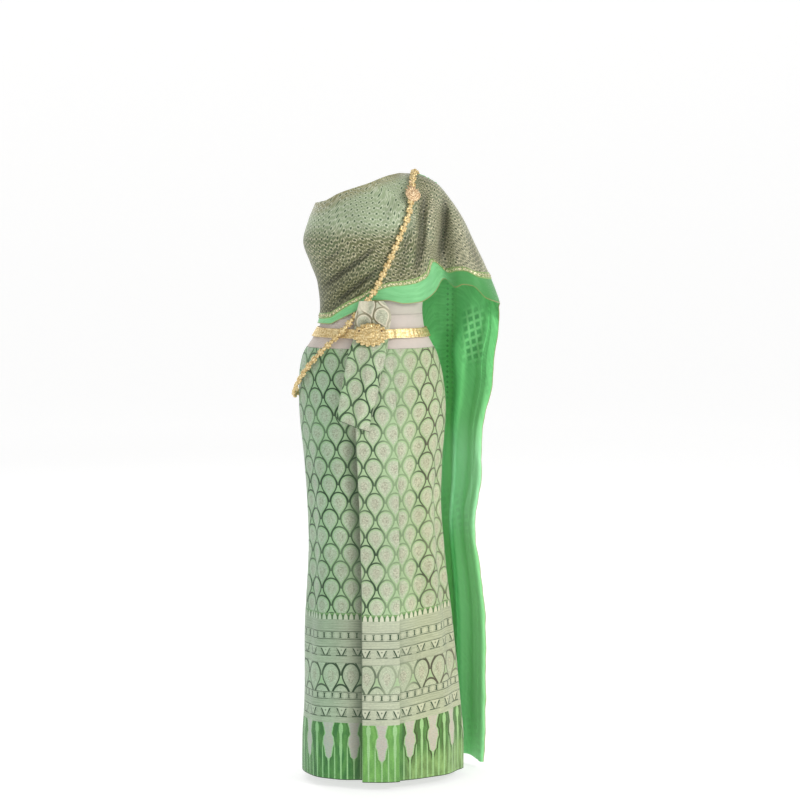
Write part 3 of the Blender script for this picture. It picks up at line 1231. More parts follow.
def ridgePoint(share):
    return np.stack([readColumn(ridgeRows, ridgeColumns, n, share) for n in ("x", "height")], axis=-1)


def ridgeRounding(x, height):
    # 0 on the shoulder and arm line, 1 where the cloth has turned fully to the front
    place = np.stack(np.broadcast_arrays(x, height), axis=-1)[..., None, :]
    line = ridgePoint(np.linspace(0, 1, shawlSizes["ridgeSteps"]))
    start = line[:-1]
    run = line[1:] - start
    share = np.clip(((place - start) * run).sum(axis=-1) / (run * run).sum(axis=-1), 0.0, 1.0)
    gaps = np.linalg.norm(place - start - share[..., None] * run, axis=-1)
    near = np.clip(gaps.min(axis=-1) / shawlSizes["shoulderRound"], 0.0, 1.0)
    return np.sqrt(1 - (1 - near) ** 2)


def creaseLift(x, height):
    total = np.zeros(np.broadcast(x, height).shape)
    for row in creaseRows:
        crease = dict(zip(creaseColumns, row))
        run = crease["top"] - crease["low"]
        share = (crease["top"] - height) / run
        middle = crease["xTop"] + share * (crease["xLow"] - crease["xTop"])
        lean = math.hypot(crease["xLow"] - crease["xTop"], run) / run
        body = np.exp(-(((x - middle) / (crease["width"] * lean)) ** 2))
        total = total + crease["lift"] * body * ease(-0.1, 0.25, share) * (1 - ease(0.9, 1.15, share))
    return total


def shawlCore(x, height, side):
    body = figureDepth(x, height, side, layers["shawl"])
    arm = shawlSizes["armDepth"] * ease(-0.02, 0.09, x)
    return (body**4 + arm**4) ** 0.25


def shawlDepth(x, height, side):
    # how far the shawl lies to the front or the back over the chest and the arm
    depth = shawlCore(x, height, side)
    if side < 0:
        depth = depth + creaseLift(x, height) * ease(0.0, 0.04, depth)
    return depth * np.where(x > 0, ridgeRounding(x, height), 1.0)


def reshared(width, amount):
    # shares of the width with the border drawn in towards the edge by a positive amount, as where
    # it is tucked under, and spread by a negative one
    edge = shawlSizes["edgeFrom"]
    grown = (1 - edge) * (1 - np.asarray(amount)[:, None])
    inside = width[None] * (1 - grown) / edge
    return np.where(width[None] < edge, inside, 1 - (1 - width[None]) * grown / (1 - edge))


def heightAcross(share):
    # height of a place across the shawl's width where it goes round the figure
    sizes = shawlSizes
    return sizes["topEdge"] + (sizes["lowEdge"] - sizes["topEdge"]) * share


def sideReach(height):
    # how far the shawl reaches out on the right side
    return figureSize("centre", height) - figureSize("half", height) - layers["shawl"]


def backStretch(width):
    sizes = shawlSizes
    turns = np.linspace(sizes["start"], 540.0, sizes["backRows"] + 1)[:-1]
    share = reshared(width, sizes["tuck"] * ease(455.0, 530.0, turns))
    turns = np.broadcast_to(turns[:, None], share.shape)
    return figurePoint(turns, heightAcross(share), layers["shawl"])


def frontStretch(width):
    # from the right side over the chest to the shoulder and arm line
    sizes = shawlSizes
    knots = np.array(sizes["knots"])
    along = np.interp(np.linspace(0, 1, sizes["frontRows"] + 1), knots[:, 0], knots[:, 1])
    eased = (1 - np.cos(math.pi * along)) / 2
    edges = []
    for rows in (upperEdge, lowerEdge):
        x = rows[0][0] + (rows[-1][0] - rows[0][0]) * eased
        edges.append(np.stack([x, readColumn(rows, edgeColumns, "height", x)], axis=-1))
    upper, lower = edges
    trend = lower[0] + (lower[-1] - lower[0]) * eased[:, None]
    wander = lower - trend
    lower = trend
    spread = sizes["armSpread"] + (sizes["spread"] - sizes["armSpread"]) * (1 - ease(0.66, 0.76, eased))
    notch = np.exp(-(((eased - sizes["notchAt"]) / sizes["notchWidth"]) ** 2))
    spread = spread * ease(0.24, 0.46, eased) + sizes["notchSpread"] * notch
    tucked = reshared(width, sizes["tuck"] * (1 - ease(0.0, 0.20, eased)) + spread)
    sideHeight = heightAcross(tucked)
    sides = np.stack([sideReach(sideHeight), sideHeight], axis=-1)
    side = sides[0]
    upper += (side[0] - upper[0]) * (1 - eased[:, None]) ** 4
    lower += (side[-1] - lower[0]) * (1 - eased[:, None]) ** 4
    ridge = ridgePoint(tucked)
    s, t = eased[:, None, None], tucked[..., None]
    flat = (
        (1 - t) * upper[:, None] + t * lower[:, None] + (1 - s) * sides + s * ridge
        - (1 - s) * (1 - t) * side[0] - (1 - s) * t * side[-1]
        - s * (1 - t) * ridgePoint(0.0) - s * t * ridgePoint(1.0) + wander[:, None] * t ** sizes["edgeReach"]
    )
    x, height = flat[..., 0], flat[..., 1]
    x = np.maximum(x, sideReach(height))
    fine = creased(shawlCreases["front"], x, height) * ease(0.0, 0.04, shawlDepth(x, height, -1))
    return np.stack([x, -shawlDepth(x, height, -1) - fine, height], axis=-1), fine


def fallStretch(width):
    # from the shoulder and arm line down the back to the floor, in loose folds
    sizes = shawlSizes
    along = np.linspace(0, 1, sizes["fallRows"] + 1)[1:] ** 1.5
    share = reshared(width, sizes["armSpread"] * (1 - ease(0.0, 0.14, along)))
    ridge = ridgePoint(share)
    end = sizes["fallInner"] + (sizes["fallOuter"] - sizes["fallInner"]) * share
    start = ridge[..., 1]
    height = start + (end - start) * along[:, None]
    drop = start - height
    inner, outer, behind, fold = (readColumn(fallRows, fallColumns, n, height) for n in fallColumns[1:])
    settle = ease(0.0, 0.30, drop)
    x = ridge[..., 0] * (1 - settle) + (inner + (outer - inner) * share) * settle
    fold = fold * ease(0.02, 0.3, drop)
    phase = 2 * math.pi * (sizes["waves"] * share + sizes["wavePhase"])
    behind = behind * (1 - sizes["drawnIn"] * ease(0.35, 1.0, share))
    lying = shawlCore(x, height, 1) + sizes["fallClear"]
    near = np.clip(drop / sizes["shoulderRound"], 0.0, 1.0)
    y = (lying * (1 - settle) + behind * settle) * np.sqrt(1 - (1 - near) ** 2) + fold * np.cos(phase)
    x = x + sizes["sway"] * fold * np.sin(phase) * np.sin(math.pi * share)
    return np.stack([x, y, height], axis=-1)


def makeShawl(brocade, gold, satin, reverse):
    # returns the whole cloth's grid, its normals and the columns of its border
    sizes = shawlSizes
    parts = (
        np.linspace(0, sizes["bandFrom"], 112),
        sizes["bandFrom"] + np.array([0.0012, 0.0040]),
        np.linspace(sizes["bandFrom"] + 0.008, sizes["bandTo"] - 0.008, 5),
        sizes["bandTo"] - np.array([0.0040, 0.0012, 0.0]),
        np.linspace(sizes["edgeFrom"], 1.0, 12),
    )
    width = np.concatenate(parts)
    bandColumn, edgeColumn = len(parts[0]) - 1, sum(len(p) for p in parts[:4]) - 1
    back, (front, fine), fall = backStretch(width), frontStretch(width), fallStretch(width)
    grid = np.concatenate([back, front, fall])
    sunk = [np.zeros(back.shape[:2]), np.clip(-fine / sizes["deepest"], 0, 1), np.zeros(fall.shape[:2])]
    normal = -gridNormals(grid)
    side = sizes["backRows"]
    shoulder = side + sizes["frontRows"]
    flatPlace = clothMap(grid, side)
    across = flatPlace[..., 1]
    flatPlace[..., 1] = across[:, -1:] - across
    along, fromLow = flatPlace[..., 0], flatPlace[..., 1]
    band = ease(sizes["bandFrom"], sizes["bandFrom"] + 0.004, width)
    band = band * (1 - ease(sizes["bandTo"] - 0.004, sizes["bandTo"], width))
    edge = ease(sizes["edgeFrom"], 1.0, width)
    ripple = np.sin(along * 61) + 0.6 * np.sin(along * 97 + 1.3) + 0.4 * np.sin(along * 163 + 0.4)
    lift = sizes["bandLift"] * band[None] + 0.0009 * ripple * edge[None]
    fall = along - along[shoulder:shoulder + 1]
    fallFade = ease(0.0, 0.10, fall)
    lift = lift + creased(shawlCreases["fall"], fall, fromLow) * fallFade
    backFade = 1 - ease(-0.05, 0.0, along)
    lift = lift + creased(shawlCreases["back"], along, fromLow) * backFade
    grid = lifted(grid, normal, lift)
    zone = np.stack(np.broadcast_arrays(np.concatenate(sunk), width[None]), axis=-1)
    last = len(width) - 1
    finishes = [(satin, last - edgeColumn), (gold, last - bandColumn), (brocade, last)]
    stretches = (
        ("back", 0, side, sizes["flatBack"], "draped", ["bodice_back_cloth"]),
        ("front", side, shoulder, sizes["flatFront"], "draped", ["bodice_front_cloth"]),
        ("fall", shoulder, len(grid) - 1, sizes["flatFall"], "hung", ["shawl_front_cloth"]),
    )
    for name, first, final, flat, held, restsOn in stretches:
        part = openedSeams(grid[first:final + 1], first > 0, final < len(grid) - 1)
        mesh = sheetMesh(
            f"shawl_{name}_cloth", part[:, ::-1], normal[first:final + 1, ::-1], sizes["wall"],
            flatPlace[first:final + 1, ::-1], finishes, reverse, zone=zone[first:final + 1, ::-1],
        )
        piece = addPiece(mesh.name, mesh, (f"shawl_{name}", f"edge_{name}", f"band_{name}"))
        sayCut(piece, flatPlace[first:final + 1])
    return grid, normal, width


# folded front tail: middle, half width and lift from the figure
tailColumns = ("height", "centre", "half", "lift")
tailRows = (
    (-0.208, -0.046, 0.038, 0.020),
    (-0.120, -0.027, 0.041, 0.018),
    (-0.045, -0.012, 0.042, 0.014),
    (-0.018, -0.005, 0.039, 0.0098),
    (0.005, -0.003, 0.039, 0.0098),
    (0.016, -0.002, 0.040, 0.0130),
    (0.030, 0.000, 0.040, 0.0195),
    (0.048, 0.000, 0.035, 0.0195),
    (0.066, -0.004, 0.027, 0.0195),
)
tailSizes = {
    "slant": 0.026, "fold": 0.0024, "waves": 1.5, "cells": (72, 110), "wall": 0.0011, "beltHeight": -0.008,
    "flat": (0.09, 0.31),
}
# creases in x and height
tailCreases = (
    (0.020, 0.046, 0.010, 0.010, 0.0030, 0.0020),
    (0.012, 0.050, 0.002, 0.012, 0.0028, -0.0018),
    (-0.004, 0.056, -0.008, 0.014, 0.0030, 0.0018),
    (-0.014, 0.046, -0.020, 0.012, 0.0030, -0.0018),
    (-0.028, 0.034, -0.030, 0.010, 0.0034, 0.0020),
    (-0.036, -0.040, -0.062, -0.130, 0.0060, -0.0022),
    (-0.008, -0.034, -0.030, -0.200, 0.0070, 0.0018),
    (0.016, -0.036, 0.002, -0.190, 0.0060, -0.0018),
)


def makeTail(finish, lining):
    sizes = tailSizes
    columns, rows = sizes["cells"]
    across, down = np.meshgrid(np.linspace(0, 1, columns + 1), np.linspace(0, 1, rows + 1), indexing="ij")
    low, high = tailRows[0][0], tailRows[-1][0]
    height = low + (high - low) * down + sizes["slant"] * (0.5 - across) * (1 - down) ** 2
    centre, half, lift = (readColumn(tailRows, tailColumns, n, height) for n in tailColumns[1:])
    x = centre + half * (2 * across - 1)
    free = ease(0.0, 0.03, np.abs(height - sizes["beltHeight"]))
    fold = sizes["fold"] * np.cos(2 * math.pi * sizes["waves"] * across) * free
    fold = fold + creased(tailCreases, x, height) * free
    grid = np.stack([x, -(figureDepth(x, height, -1) + lift + fold), height], axis=-1)
    normal = gridNormals(grid)
    flatPlace = clothMap(grid, columns // 2)
    mesh = sheetMesh("front_tail_cloth", grid, normal, sizes["wall"], flatPlace, [(finish, rows)], lining)
    piece = addPiece(mesh.name, mesh, ("front_tail",))
    sayCut(piece, flatPlace)
    return grid, normal


# metalwork

class Shape:
    # gathers points and faces of one metal piece
    def __init__(self):
        self.points = []
        self.faces = []

    def add(self, points, faces):
        start = len(self.points)
        self.points += [tuple(point) for point in points]
        self.faces += [tuple(start + k for k in face) for face in faces]

    def dome(self, place, half, profile, rays=0, depth=0.0, steps=48, turn=0.0, sharp=0.7):
        # A domed plate: profile gives shares of the radius and how far it rises there.
        # rays cut its outline into petals; place is (centre, right, up, facing).
        centre, right, up, facing = place
        rings = [[centre + facing * profile[0][1]]]
        for share, rise in profile[1:]:
            ring = []
            for k in range(steps):
                angle = 2 * math.pi * k / steps + turn
                petal = abs(math.cos(rays * angle / 2)) ** sharp if rays else 1.0
                reach = share * (1 - depth * share * (1 - petal))
                height = rise * (1 - 0.3 * share * (1 - petal))
                side = right * half[0] * reach * math.cos(angle) + up * half[1] * reach * math.sin(angle)
                ring.append(centre + side + facing * height)
            rings.append(ring)
        rings.append([centre + facing * (profile[-1][1] - 0.0008)])
        self.add([point for ring in rings for point in ring], capFaces(steps, len(profile) - 1))

    def ball(self, centre, radius, axes, flat=1.0, sides=6, rings=4):
        right, up, facing = axes
        points = [centre + facing * radius * flat]
        for ring in range(1, rings):
            polar = math.pi * ring / rings
            for k in range(sides):
                angle = 2 * math.pi * k / sides
                side = right * math.cos(angle) + up * math.sin(angle)
                points.append(centre + (side * math.sin(polar) + facing * math.cos(polar) * flat) * radius)
        points.append(centre - facing * radius * flat)
        self.add(points, capFaces(sides, rings - 1))

    def beads(self, place, half, share, radius, angles):
        # a row of small balls along an ellipse
        centre, right, up, facing = place
        for angle in angles:
            side = right * half[0] * share * math.cos(angle) + up * half[1] * share * math.sin(angle)
            self.ball(centre + side, radius, (right, up, facing))

    def leaf(self, place, base, tip, width, rise, steps=10):
        # a raised pointed leaf between two places of the plate's plane
        centre, right, up, facing = place
        run = np.array(tip) - np.array(base)
        length = float(np.linalg.norm(run))
        ahead, aside = run / length, np.array([-run[1], run[0]]) / length

        def at(along, across, height):
            flat = np.array(base) + ahead * along * length + aside * across
            return centre + right * flat[0] + up * flat[1] + facing * height

        points = []
        for k in range(steps + 1):
            t = k / steps
            half = width * math.sin(math.pi * min(t + 0.06, 1.0)) ** 0.75 * (1 - 0.35 * t) + 0.00015
            high = rise * (0.35 + 0.65 * math.sin(math.pi * t))
            points += [at(t, -half, 0.0), at(t, -half * 0.45, high * 0.8), at(t, 0.0, high),
                       at(t, half * 0.45, high * 0.8), at(t, half, 0.0)]
        faces = []
        for k in range(steps):
            here, there = k * 5, k * 5 + 5
            for j in range(4):
                faces.append((here + j, there + j, there + j + 1, here + j + 1)[::-1])
            faces.append((here + 4, there + 4, there, here)[::-1])
        faces.append((0, 1, 2, 3, 4)[::-1])
        faces.append(tuple(steps * 5 + j for j in range(5)))
        self.add(points, faces)

    def mesh(self, name, finish, sharp=50):
        return plainMesh(name, self.points, self.faces, finish, sharp)


def rightedMesh(mesh):
    # faces turned outwards
    build = bmesh.new()
    build.from_mesh(mesh)
    bmesh.ops.recalc_face_normals(build, faces=build.faces[:])
    build.to_mesh(mesh)
    build.free()
    return mesh


# belt: a band of small square plates with a raised rim
beltSizes = {
    "low": -0.0165, "top": 0.0035, "wall": 0.0020, "plates": 62, "plateCells": 8, "rows": 14,
    "relief": 0.0012, "overTail": 0.0105, "overHalf": 23.5,
}


def beltLift(turn):
    over = np.exp(-(((turn - 270.0) / beltSizes["overHalf"]) ** 8))
    return layers["belt"] + beltSizes["overTail"] * over


def makeBelt(gold):
    sizes = beltSizes
    columns = sizes["plates"] * sizes["plateCells"]
    turns = 180.0 + np.arange(columns) * 360.0 / columns
    across = np.linspace(0, 1, sizes["rows"] + 1)
    along = (np.arange(columns) % sizes["plateCells"]) / sizes["plateCells"]
    groove = ease(0.0, 0.14, np.minimum(along, 1 - along) + 0.02)[:, None]
    pyramid = np.clip(1 - 2.2 * np.abs(along - 0.5)[:, None] - 2.6 * np.abs(across - 0.5)[None], 0, 1)
    rim = ease(0.34, 0.40, np.abs(across - 0.5)) * (1 - ease(0.46, 0.5, np.abs(across - 0.5)))
    relief = sizes["relief"] * (0.7 * pyramid + 0.35 * groove * (1 - rim)[None] + rim[None] * 0.75)
    turns, levels = np.meshgrid(turns, sizes["low"] + (sizes["top"] - sizes["low"]) * across, indexing="ij")
    grid = liftedRing(turns, levels, beltLift(turns) + relief - 0.0003)
    normal = gridNormals(grid, closed=True, level=True)
    faces = [(gold, sizes["rows"])]
    mesh = sheetMesh("belt_plates", grid, normal, sizes["wall"], clothMap(grid, 0), faces, gold, closed=True)
    addPiece(mesh.name, mesh, ("belt",))


# shapes that are repeated along a path; each lies flat, facing up its own z

def flatAxes():
    return np.zeros(3), np.array([1.0, 0, 0]), np.array([0, 1.0, 0]), np.array([0, 0, 1.0])


def flowerShape(radius, thick):
    shape = Shape()
    rises = ((0.0, 0.95), (0.30, 1.0), (0.52, 0.55), (0.78, 0.70), (0.94, 0.35), (1.0, -0.1), (0.9, -0.7))
    profile = [(share, thick * rise) for share, rise in rises]
    shape.dome(flatAxes(), (radius, radius), profile, rays=6, depth=0.32, steps=24)
    _, *axes = flatAxes()
    shape.ball(axes[2] * thick * 0.95, radius * 0.30, axes, 0.8, 8, 4)
    return shape


def ballShape(radius, flat):
    shape = Shape()
    centre, *axes = flatAxes()
    shape.ball(centre, radius, axes, flat, 8, 5)
    return shape


def stitchShape(length, radius):
    shape = Shape()
    centre, right, up, facing = flatAxes()
    shape.ball(centre, 1.0, (right * length / 2, up * radius, facing * radius), 1.0, 5, 4)
    return shape


def discShape(radius, thick):
    # a sequin: a shallow cup with a raised middle
    shape = Shape()
    profile = ((0.0, thick), (0.45, thick * 1.3), (1.0, thick * 0.5))
    shape.dome(flatAxes(), (radius, radius), profile, steps=8)
    return shape


def followTree():
    # copies of one shape set along a path, facing the way that the path's points face
    tree = bpy.data.node_groups.new("setAlongPath", "GeometryNodeTree")
    kinds = {
        "Path": "Geometry", "Shape": "Object", "Count": "Int", "Size": "Float",
        "Unevenness": "Float", "Seed": "Int", "Finish": "Material",
    }
    for name, kind in kinds.items():
        tree.interface.new_socket(name=name, in_out="INPUT", socket_type="NodeSocket" + kind)
    tree.interface.new_socket(name="Result", in_out="OUTPUT", socket_type="NodeSocketGeometry")
    graph = Graph(tree)
    start = tree.nodes.new("NodeGroupInput")
    given = {socket.name: Value(graph, socket) for socket in start.outputs if socket.name}
    curve = graph.node("GeometryNodeMeshToCurve", None, {0: given["Path"]})
    inputs = {"Curve": curve, "Count": given["Count"]}
    spaced = graph.node("GeometryNodeResampleCurve", {"mode": "COUNT"}, inputs)
    facing = graph.node("GeometryNodeInputNamedAttribute", {"data_type": "FLOAT_VECTOR"}, {"Name": "facing"})
    tangent = graph.node("GeometryNodeInputTangent")
    align = "FunctionNodeAlignRotationToVector"
    outward = graph.node(align, {"axis": "Z"}, {"Vector": facing})
    turned = graph.node(align, {"axis": "X", "pivot_axis": "Z"}, {"Rotation": outward, "Vector": tangent})
    least = 1 - given["Unevenness"]
    most = given["Unevenness"] + 1
    scale = graph.node(
        "FunctionNodeRandomValue", {"data_type": "FLOAT"}, {2: least, 3: most, "Seed": given["Seed"]}, 1,
    )
    info = graph.node("GeometryNodeObjectInfo", None, {"Object": given["Shape"]}, "Geometry")
    placed = graph.node(
        "GeometryNodeInstanceOnPoints", None,
        {"Points": spaced, "Instance": info, "Rotation": turned, "Scale": scale * given["Size"]},
    )
    real = graph.node("GeometryNodeRealizeInstances", None, {0: placed})
    done = graph.node("GeometryNodeSetMaterial", None, {"Geometry": real, "Material": given["Finish"]})
    end = tree.nodes.new("NodeGroupOutput")
    tree.links.new(done.socket, end.inputs[0])
    return tree


def setAlong(name, shape, path, count, finish, size=1.0, unevenness=0.0, seed=1, replaced=(),
             closed=False):
    # path is (points, facings), and gets count copies of the shape
    template = addObject("template", shape.mesh("template", finish))
    points, facings = path
    edges = [(k, k + 1) for k in range(len(points) - 1)]
    if closed:
        edges.append((len(points) - 1, 0))
    mesh = bpy.data.meshes.new("path")
    mesh.from_pydata(points.tolist(), edges, [])
    outward = mesh.attributes.new("facing", "FLOAT_VECTOR", "POINT")
    outward.data.foreach_set("vector", facings.ravel())
    carrier = addObject("carrier", mesh)
    modifier = carrier.modifiers.new("setAlongPath", "NODES")
    modifier.node_group = alongPath
    values = {
        "Shape": template, "Count": count, "Size": size, "Unevenness": unevenness, "Seed": seed,
        "Finish": finish,
    }
    for item in alongPath.interface.items_tree:
        if item.in_out == "INPUT" and item.name in values:
            modifier[item.identifier] = values[item.name]
    graph = bpy.context.evaluated_depsgraph_get()
    result = bpy.data.meshes.new_from_object(carrier.evaluated_get(graph))
    result.name = name
    carrier.modifiers.clear()
    for spare in (carrier, template):
        bpy.data.objects.remove(spare)
    return addPiece(name, result, replaced)


# sewing: stitch length, thickness and spacing, how deep they sit, and the sequins of the border
sewingSizes = {
    "length": 0.0030, "radius": 0.00028, "pitch": 0.0046, "out": 0.0002, "hem": 0.7, "edge": 2,
    "sequin": 0.0017, "sequinThick": 0.0003, "sequinPitch": 0.0088, "sequinShare": 0.890,
}


def seamPath(grid, normal, column, out):
    return grid[:, column] + normal[:, column] * out, normal[:, column]


def pathCount(path, pitch):
    return int(stepLengths(path[0]).sum() / pitch)


def sewDress(panels, tail, shawl, finishes):
    # stitches along the hems and edges of every cloth, and sequins on the gold border
    sizes = sewingSizes
    stitch = stitchShape(sizes["length"], sizes["radius"])
    runs = []
    for name, column in (("skirt", 1), ("bodice", -2), ("waistband", -2)):
        for side, (grid, normal) in zip(("front", "back"), panels[name]):
            runs.append((f"stitches_{name}_{side}", seamPath(grid, normal, column, sizes["out"]), name))
    runs.append(("stitches_tail", seamPath(*tail, 2, sizes["out"]), "skirt"))
    grid, normal, width = shawl
    side = shawlSizes["backRows"]
    shoulder = side + shawlSizes["frontRows"]
    sequinColumn = int(np.argmin(np.abs(width - sizes["sequinShare"])))
    sequins = discShape(sizes["sequin"], sizes["sequinThick"])
    ends = {"back": (0, side), "front": (side, shoulder), "fall": (shoulder, len(grid) - 1)}
    for part, (first, last) in ends.items():
        stretch = (grid[first:last + 1], normal[first:last + 1])
        runs.append((f"stitches_shawl_{part}", seamPath(*stretch, sizes["edge"], sizes["out"]), "shawl"))
        path = seamPath(*stretch, sequinColumn, sizes["out"] * 2)
        count = pathCount(path, sizes["sequinPitch"])
        setAlong(f"sequins_{part}", sequins, path, count, finishes["sequin"],
                 unevenness=0.15, seed=7)
    for name, path, cloth in runs:
        thread, slot = finishes[cloth]
        setAlong(name, stitch, path, pathCount(path, sizes["pitch"]), thread)
    return len(runs)


# the body chain: its route as turns and heights, and how far what lies under it stands out
chainRoute = (
    (333.0, 0.3330, 0.0010),
    (320.0, 0.3100, 0.0),
    (307.0, 0.2580, 0.0),
    (296.8, 0.2130, 0.0),
    (289.0, 0.1680, 0.0),
    (281.0, 0.1220, 0.0005),
    (271.0, 0.0840, 0.0015),
    (252.0, 0.0400, 0.0015),
    (238.0, 0.0050, 0.0030),
    (229.0, -0.0200, 0.0020),
    (217.0, -0.0560, 0.0),
    (207.0, -0.0860, 0.0),
    (196.0, -0.1180, 0.0),
    (183.0, -0.1450, 0.0),
    (168.0, -0.1480, 0.0),
    (150.0, -0.1230, 0.0),
    (136.0, -0.0780, 0.0),
    (122.0, -0.0220, 0.0020),
    (112.0, 0.0100, 0.0030),
    (100.0, 0.0600, 0.0010),
    (87.0, 0.1360, 0.0),
    (71.0, 0.2140, 0.0),
    (57.0, 0.2760, 0.0065),
    (44.0, 0.3130, 0.0075),
    (27.0, 0.3330, 0.0050),
)
chainSizes = {
    "shoulderShare": 0.085, "lift": 0.0066, "steps": 24, "pitch": 0.0224, "flower": 0.0092,
    "flowerThick": 0.0036, "ball": 0.0055, "ballFlat": 0.8,
}
# arcs and rings of beads are share of the half size, bead radius, rise and count;
# leaves are lean, reach and width; plates are shares of the radius and the rise there
broochSizes = {
    "turn": 316.5, "height": 0.2985, "half": (0.0182, 0.0195), "gap": 0.0020, "beadThick": 0.0030,
    "sunk": 0.0012, "beadsPerArc": 34, "arcDrop": 0.10,
    "plate": ((0.0, 0.0022), (0.5, 0.0022), (0.9, 0.0016), (1.0, 0.0004)),
    "rosette": ((0.0, 0.0030), (0.4, 0.0026), (0.7, 0.0012), (1.0, 0.0002)),
    "arcs": ((0.93, 0.0016, 0.0010), (0.70, 0.0013, 0.0020), (0.46, 0.0013, 0.0026)),
    "leaves": (
        (0.0, 1.06, 0.0044), (-0.55, 0.96, 0.0038), (0.55, 0.96, 0.0038), (-1.10, 0.94, 0.0032),
        (1.10, 0.94, 0.0032),
    ),
}
buckleSizes = {
    "x": -0.006, "height": -0.008, "half": (0.040, 0.027), "gap": 0.0018,
    "lowPlate": ((0.0, 0.0030), (0.60, 0.0028), (0.72, 0.0016), (0.84, 0.0024), (0.95, 0.0014), (1.0, 0.0)),
    "middlePlate": ((0.0, 0.0030), (0.55, 0.0026), (0.72, 0.0010), (0.88, 0.0022), (1.0, 0.0002)),
    "topPlate": ((0.0, 0.0034), (0.40, 0.0030), (0.62, 0.0010), (0.85, 0.0020), (1.0, 0.0002)),
    "rings": ((0.885, 0.0011, 0.0030, 44), (0.64, 0.0011, 0.0046, 30), (0.33, 0.0009, 0.0064, 20)),
    "leaves": (
        (0.0, 1.0, 0.0050), (-0.42, 0.97, 0.0040), (0.42, 0.97, 0.0040), (-0.85, 0.95, 0.0036),
        (0.85, 0.95, 0.0036),
    ),
    # stones: shares of the half size across and up, and radius
    "stones": ((-0.62, 0.30, 0.0021), (0.62, 0.30, 0.0021), (-0.30, 0.62, 0.0020), (0.30, 0.62, 0.0020)),
    "stoneCut": ((0.0, 0.7), (0.5, 0.6), (0.85, 0.3), (1.0, 0.0)),
}


def clothPoint(turn, height, extra):
    # where the ray at this turn leaves the shawl or the skirt
    angle = math.radians(turn)
    side = -1 if math.sin(angle) < 0 else 1
    centre = float(figureSize("centre", height))
    inside, outside = 0.0, 0.4
    for _ in range(40):
        reach = (inside + outside) / 2
        x = centre + reach * math.cos(angle)
        if abs(reach * math.sin(angle)) < float(shawlDepth(np.float64(x), height, side)):
            inside = reach
        else:
            outside = reach
    reach = outside + extra
    return np.array([centre + reach * math.cos(angle), reach * math.sin(angle), height])


def clothPlace(turn, height, extra):
    around = clothPoint(turn + 1.0, height, 0.0) - clothPoint(turn - 1.0, height, 0.0)
    upward = clothPoint(turn, height + 0.003, 0.0) - clothPoint(turn, height - 0.003, 0.0)
    return clothPoint(turn, height, extra), unit(np.cross(around, upward))


def closedCurve(points, steps):
    curve = []
    count = len(points)
    for i in range(count):
        before, here, there, after = (points[(i + k) % count] for k in (-1, 0, 1, 2))
        for k in range(steps):
            f = k / steps
            bend = (2 * before - 5 * here + 4 * there - after) * f * f
            sway = (3 * here - before - 3 * there + after) * f**3
            curve.append(0.5 * (2 * here + (there - before) * f + bend + sway))
    return np.array(curve)


def alongLoop(loop, values, at):
    # values of a closed run of points at distances along it
    length = np.concatenate([[0], np.cumsum(stepLengths(closedUp(loop)))])
    wrapped = closedUp(values)
    at = np.asarray(at) * length[-1] % length[-1]
    return np.stack([np.interp(at, length, wrapped[:, k]) for k in range(3)], axis=-1)


def makeChain(gold):
    sizes = chainSizes
    places = [clothPlace(*row) for row in chainRoute]
    over = ridgePoint(sizes["shoulderShare"])
    places.append((np.array([over[0], 0.0, over[1]]), unit(np.array([0.15, 0.0, 1.0]))))
    raised = np.array([place + facing * sizes["lift"] for place, facing in places])
    centres = closedCurve(raised, sizes["steps"])
    facings = unit(closedCurve(np.array([facing for _, facing in places]), sizes["steps"]))
    beads = round(float(stepLengths(closedUp(centres)).sum()) / sizes["pitch"])

    def run(offset):
        # the chain's path, started part of a pitch along
        at = (np.arange(beads * 8) / (beads * 8) + offset / beads) % 1.0
        return alongLoop(centres, centres, at), unit(alongLoop(centres, facings, at))

    flower = flowerShape(sizes["flower"], sizes["flowerThick"])
    ball = ballShape(sizes["ball"], sizes["ballFlat"])
    setAlong("chain_flowers", flower, run(0.30), beads, gold, replaced=("chain",), closed=True)
    setAlong("chain_balls", ball, run(0.80), beads, gold, closed=True)
    return beads


def plateAxes(facing):
    up = unit(np.array([0.0, 0.0, 1.0]) - facing * facing[2])
    return np.cross(up, facing), up


def makeBrooch(gold):
    # a crown of pointed leaves over a half round of beaded arcs
    sizes = broochSizes
    place, facing = clothPlace(sizes["turn"], sizes["height"], 0.0)
    centre = place + facing * (chainSizes["lift"] + sizes["beadThick"] + sizes["gap"] - sizes["sunk"])
    right, up = plateAxes(facing)
    half = sizes["half"]

    def spot(rise, lower=0.0):
        return centre + facing * rise - up * lower, right, up, facing

    shape = Shape()
    plateHalf = (half[0] * 0.96, half[1] * 0.84)
    shape.dome(spot(0.0, half[1] * 0.16), plateHalf, sizes["plate"], rays=16, depth=0.06, steps=96)
    for share, radius, rise in sizes["arcs"]:
        count = round(sizes["beadsPerArc"] * share)
        angles = [math.pi * (1 + k / count) for k in range(count + 1)]
        shape.beads(spot(rise, half[1] * sizes["arcDrop"]), half, share, radius, angles)
    for lean, reach, width in sizes["leaves"]:
        tip = (half[0] * math.sin(lean) * reach, half[1] * math.cos(lean) * reach)
        shape.leaf(spot(0.0010), (tip[0] * 0.20, tip[1] * 0.20), tip, width, 0.0030)
        shape.ball(centre + right * tip[0] + up * tip[1] + facing * 0.0012, 0.0014, (right, up, facing))
    rosetteHalf = (half[0] * 0.34, half[0] * 0.34)
    shape.dome(spot(0.0020), rosetteHalf, sizes["rosette"], rays=8, depth=0.26, steps=48)
    shape.ball(centre + up * half[1] * 1.40 + facing * 0.0005, 0.0036, (right, up, facing), 0.8, 8, 5)
    mesh = rightedMesh(shape.mesh("brooch_gold", gold))
    addPiece(mesh.name, mesh, ("brooch",))


